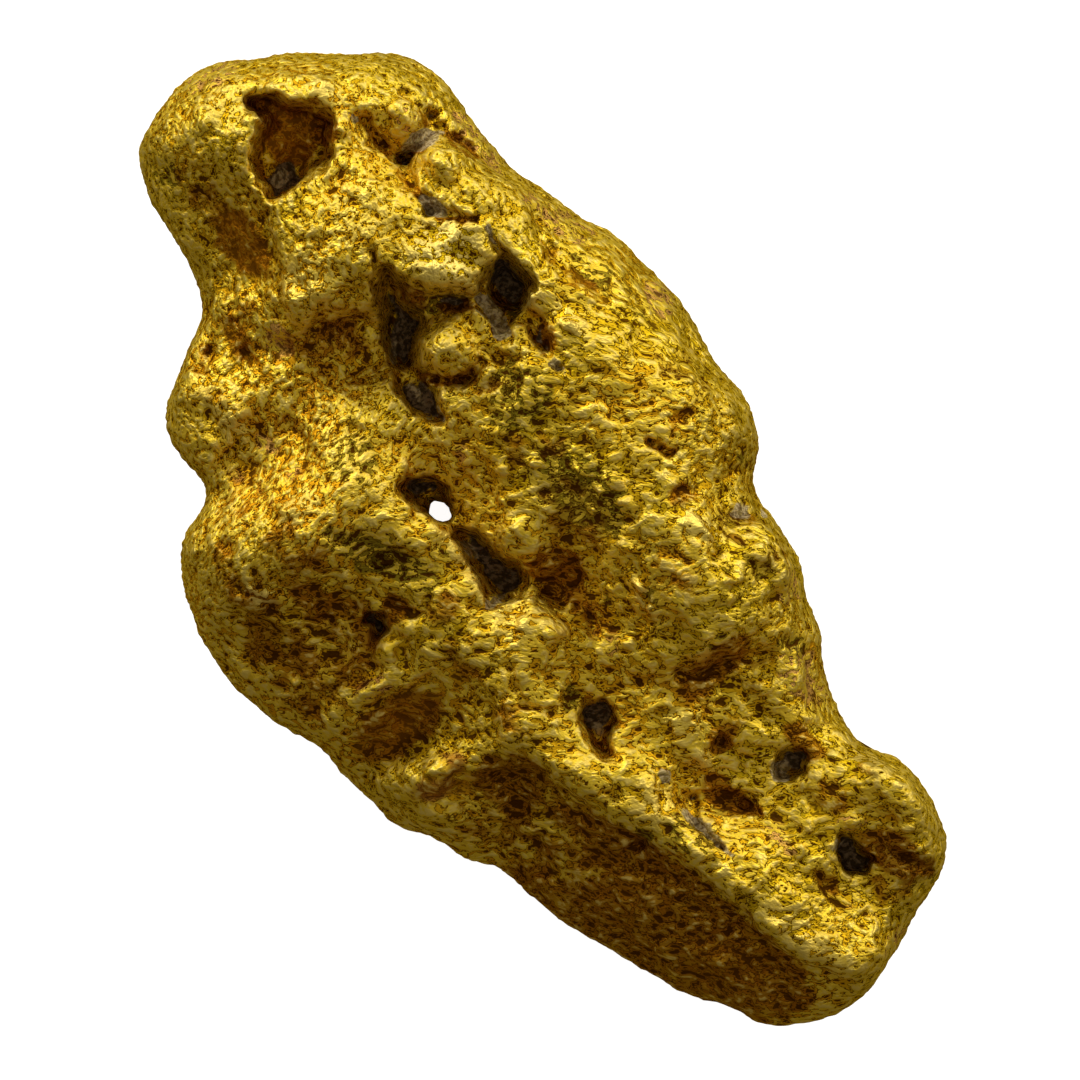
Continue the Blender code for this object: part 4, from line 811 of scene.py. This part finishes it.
def camera():
    data = bpy.data.cameras.new("camera")
    data.lens = LENS
    data.sensor_width = SENSOR
    data.clip_start = CLIP_START
    data.clip_end = CLIP_END
    made = bpy.data.objects.new("camera", data)
    x, y, z = (size * MM for size in VIEW_CENTRE)
    made.location = (x, y, z + LENS / SENSOR * VIEW_WIDTH * MM)
    made.rotation_euler = (0, 0, math.radians(VIEW_TURN))
    bpy.context.scene.collection.objects.link(made)
    bpy.context.scene.camera = made


def light_direction(azimuth, rise):
    """A direction in the nugget's frame, from one in the picture and its height."""
    azimuth, rise = math.radians(azimuth + VIEW_TURN), math.radians(rise)
    return Vector((
        math.cos(azimuth) * math.cos(rise), math.sin(azimuth) * math.cos(rise), math.sin(rise)
    ))


def lights():
    for name, (azimuth, rise, width, height, power, colour) in SOFTBOXES.items():
        data = bpy.data.lights.new(name, "AREA")
        data.shape = "RECTANGLE"
        data.size, data.size_y = width, height
        data.energy = power
        data.color = colour
        made = bpy.data.objects.new(name, data)
        towards = light_direction(azimuth, rise)
        made.location = towards * LIGHT_DISTANCE
        made.rotation_mode = "QUATERNION"
        made.rotation_quaternion = towards.to_track_quat("Z", "Y")
        bpy.context.scene.collection.objects.link(made)
    world = bpy.data.worlds.new("studio")
    world.use_nodes = True
    background = world.node_tree.nodes["Background"]
    background.inputs["Color"].default_value = WORLD_COLOUR
    background.inputs["Strength"].default_value = WORLD_STRENGTH
    bpy.context.scene.world = world


def floor():
    bm = bmesh.new()
    bmesh.ops.create_grid(bm, x_segments=1, y_segments=1, size=FLOOR_HALF_WIDTH)
    mesh = bpy.data.meshes.new("floor")
    bm.to_mesh(mesh)
    bm.free()
    made = bpy.data.objects.new("floor", mesh)
    material = bpy.data.materials.new("pale floor")
    material.use_nodes = True
    shader = material.node_tree.nodes["Principled BSDF"]
    shader.inputs["Base Color"].default_value = FLOOR_COLOUR
    shader.inputs["Roughness"].default_value = FLOOR_ROUGHNESS
    shader.inputs["Emission Color"].default_value = FLOOR_GLOW
    shader.inputs["Emission Strength"].default_value = FLOOR_GLOW_STRENGTH
    mesh.materials.append(material)
    # The gold doesn't mirror the glowing floor.
    made.visible_glossy = False
    bpy.context.scene.collection.objects.link(made)


class Graph:
    """A material's nodes, added and joined in one line each."""

    def __init__(self, name):
        self.material = bpy.data.materials.new(name)
        self.material.use_nodes = True
        self.nodes = self.material.node_tree.nodes
        self.links = self.material.node_tree.links
        self.shader = self.nodes["Principled BSDF"]

    def add(self, kind, inputs=None, **settings):
        node = self.nodes.new(kind)
        for name, value in settings.items():
            setattr(node, name, value)
        for name, value in (inputs or {}).items():
            self.join(value, node.inputs[name])
        return node

    def join(self, value, socket):
        if isinstance(value, bpy.types.NodeSocket):
            self.links.new(value, socket)
        else:
            socket.default_value = value

    def math(self, operation, first, second=0.0, third=0.0):
        node = self.add("ShaderNodeMath", operation=operation)
        for value, socket in zip((first, second, third), node.inputs):
            self.join(value, socket)
        return node.outputs[0]

    def ramp(self, value, low, high, start=0.0, end=1.0):
        inputs = {"Value": value, "From Min": low, "From Max": high, "To Min": start, "To Max": end}
        node = self.add("ShaderNodeMapRange", inputs, interpolation_type="SMOOTHSTEP")
        return node.outputs["Result"]

    def mix(self, share, first, second):
        """A mix of two colours. The node's colour sockets are found by number."""
        node = self.add("ShaderNodeMix", data_type="RGBA")
        self.join(share, node.inputs[0])
        self.join(first, node.inputs[6])
        self.join(second, node.inputs[7])
        return node.outputs[2]

    def attribute(self, name, output="Fac"):
        return self.add("ShaderNodeAttribute", attribute_name=name).outputs[output]

    def noise(self, vector, scale, detail, roughness):
        inputs = {"Vector": vector, "Scale": scale, "Detail": detail, "Roughness": roughness}
        return self.add("ShaderNodeTexNoise", inputs).outputs["Fac"]


def covered(graph, name, stain, edge=FILM_EDGE):
    """A film's or painted patch's attribute, broken up at its edges by the stain noise."""
    middle = graph.math("SUBTRACT", graph.attribute(name), BREAK_UP / 2)
    return graph.ramp(graph.math("MULTIPLY_ADD", stain, BREAK_UP, middle), *edge)


def flake_normal(graph, flakes, level, worn):
    """The direction of a surface made of thin flakes, flatter where it is worn."""
    height = graph.math("MULTIPLY_ADD", flakes, FLAKE_SWELL, graph.ramp(level, *STEP))
    strength = graph.ramp(worn, 0.0, 1.0, BUMP_UNWORN, BUMP_WORN)
    inputs = {"Height": height, "Strength": strength, "Distance": FLAKE_STEP}
    return graph.add("ShaderNodeBump", inputs).outputs["Normal"]


def flake_gap_shade(graph, level, worn):
    """Where the dark outlines and the gaps between the flakes are, which are painted shade."""
    outline = graph.math("ABSOLUTE", graph.math("SUBTRACT", level, SHADE_OUTLINE_MIDDLE))
    gap = graph.math("MAXIMUM", graph.ramp(outline, *SHADE_OUTLINE_SIDES), graph.ramp(level, *SHADED_GAPS))
    return graph.math("MULTIPLY", gap, graph.ramp(worn, 0.0, 1.0, GAP_SHADE_UNWORN, GAP_SHADE_WORN))


def tinted_gold(graph, stain, brown_shade):
    """The gold's own colour, greenish or warm, under its tan film, partly a painted reflection, and its
    olive and brown painted shade.
    """
    colour = graph.mix(graph.attribute("warmth"), GREEN_GOLD, WARM_GOLD)
    colour = graph.mix(covered(graph, "tan", stain), colour, TAN_REFLECTION_GOLD)
    olive_shade = graph.math("MULTIPLY", covered(graph, "olive_shade", stain), FILM_COVER)
    colour = graph.mix(olive_shade, colour, OLIVE_SHADE)
    return graph.mix(graph.math("MULTIPLY", brown_shade, FILM_COVER), colour, BROWN_SHADE)


def with_lit_crests(graph, colour, level, brown_shade):
    """The colour with the flakes' yellow crests painted as lit, and painted highlights in the highlight
    patches and on the highest crests.
    """
    shown = graph.ramp(brown_shade, 0.0, 1.0, 1.0, LIT_CREST_UNDER_SHADE)
    lit_crest = graph.math("MULTIPLY", graph.ramp(level, *LIT_CRESTS), shown)
    colour = graph.mix(lit_crest, colour, LIT_CREST_GOLD)
    # Painted highlights: in the highlight patches and as glints on the highest crests.
    painted_highlight = graph.math("MULTIPLY", graph.attribute("painted_highlight"), graph.ramp(level, *HIGHLIGHT_CRESTS))
    glint = graph.ramp(level, *GLINT_CRESTS, 0.0, GLINT_SHARE)
    return graph.mix(graph.math("MAXIMUM", painted_highlight, glint), colour, HIGHLIGHT_GOLD)


def with_grit(graph, colour, place, grit, dust):
    """The colour with dark grit and grey dust on it, both speckled."""
    speck = graph.ramp(graph.noise(place, *SPECKS), *SPECK_LEVELS)
    colour = graph.mix(grit, colour, graph.mix(speck, BLACK_GRIT, BROWN_GRIT))
    hidden = graph.math("MULTIPLY", dust, FILM_COVER)
    return graph.mix(hidden, colour, graph.mix(speck, DARK_DUST, GREY_DUST))


def gold():
    graph = Graph("native gold")
    place = graph.attribute("grain_place", "Vector")
    stain, cavity, dip, worn = map(graph.attribute, ("stain", "cavity", "dip", "worn"))
    flakes = graph.noise(place, *FLAKES)
    # Cavities and dips lower the level, so that more painted shade of the gaps falls in them.
    low = graph.math("MULTIPLY_ADD", cavity, CAVITY_SHADE_DROP, graph.math("MULTIPLY", dip, DIP_SHADE_DROP))
    level = graph.math("SUBTRACT", flakes, low)
    normal = flake_normal(graph, flakes, level, worn)
    # The brown and olive films are painted shade, and lower the level too.
    brown_shade = covered(graph, "brown_shade", stain, BROWN_SHADE_EDGE)
    film = graph.math("MAXIMUM", brown_shade, graph.attribute("olive_shade"))
    level = graph.math("SUBTRACT", level, graph.math("MULTIPLY", film, SHADE_FILM_DROP))
    gap = flake_gap_shade(graph, level, worn)
    # Painted light on the crests, over the gold's own colour and its films.
    colour = with_lit_crests(graph, tinted_gold(graph, stain, brown_shade), level, brown_shade)
    # Painted shade in the gaps between the flakes.
    colour = graph.mix(gap, colour, GAP_SHADE)
    # Painted shade in the deep hollows.
    colour = graph.mix(graph.attribute("hollow_shade"), colour, BROWN_SHADE)
    grit, dust = covered(graph, "dark_grit", stain), covered(graph, "grey_film", stain)
    colour = with_grit(graph, colour, place, grit, dust)
    dull = graph.math("MAXIMUM", grit, graph.math("MULTIPLY", dust, DUST_DULLNESS))
    rough = graph.ramp(stain, *STAIN_LEVELS, *ROUGHNESS)
    rough = graph.math("MULTIPLY_ADD", graph.math("MAXIMUM", dull, gap), DULL_ROUGHER, rough)
    graph.join(colour, graph.shader.inputs["Base Color"])
    graph.join(rough, graph.shader.inputs["Roughness"])
    graph.join(graph.math("SUBTRACT", 1.0, dull), graph.shader.inputs["Metallic"])
    graph.join(normal, graph.shader.inputs["Normal"])
    graph.shader.inputs["Specular Tint"].default_value = EDGE_TINT
    return graph.material


def finish_piece(piece):
    """Back to metres and inside the CAD solid's box, then the finish and the place in the frame."""
    low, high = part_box("nugget")
    points = coordinates(piece.data) * MM
    set_coordinates(piece.data, np.clip(points, np.array(low), np.array(high)))
    piece.data.shade_smooth()
    piece.data.materials.append(gold())
    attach(piece, "root")
    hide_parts("nugget")


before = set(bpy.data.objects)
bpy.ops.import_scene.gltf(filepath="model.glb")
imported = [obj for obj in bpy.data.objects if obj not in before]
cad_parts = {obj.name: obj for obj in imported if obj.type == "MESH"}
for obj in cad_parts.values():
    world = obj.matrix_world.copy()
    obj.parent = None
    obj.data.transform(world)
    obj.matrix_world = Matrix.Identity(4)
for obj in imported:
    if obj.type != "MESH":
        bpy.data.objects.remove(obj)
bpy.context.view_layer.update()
camera()
nugget = nugget_piece(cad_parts["nugget"])
add_masks(nugget.data)
finish_piece(nugget)
lights()
floor()
bpy.context.scene.view_settings.view_transform = "Standard"
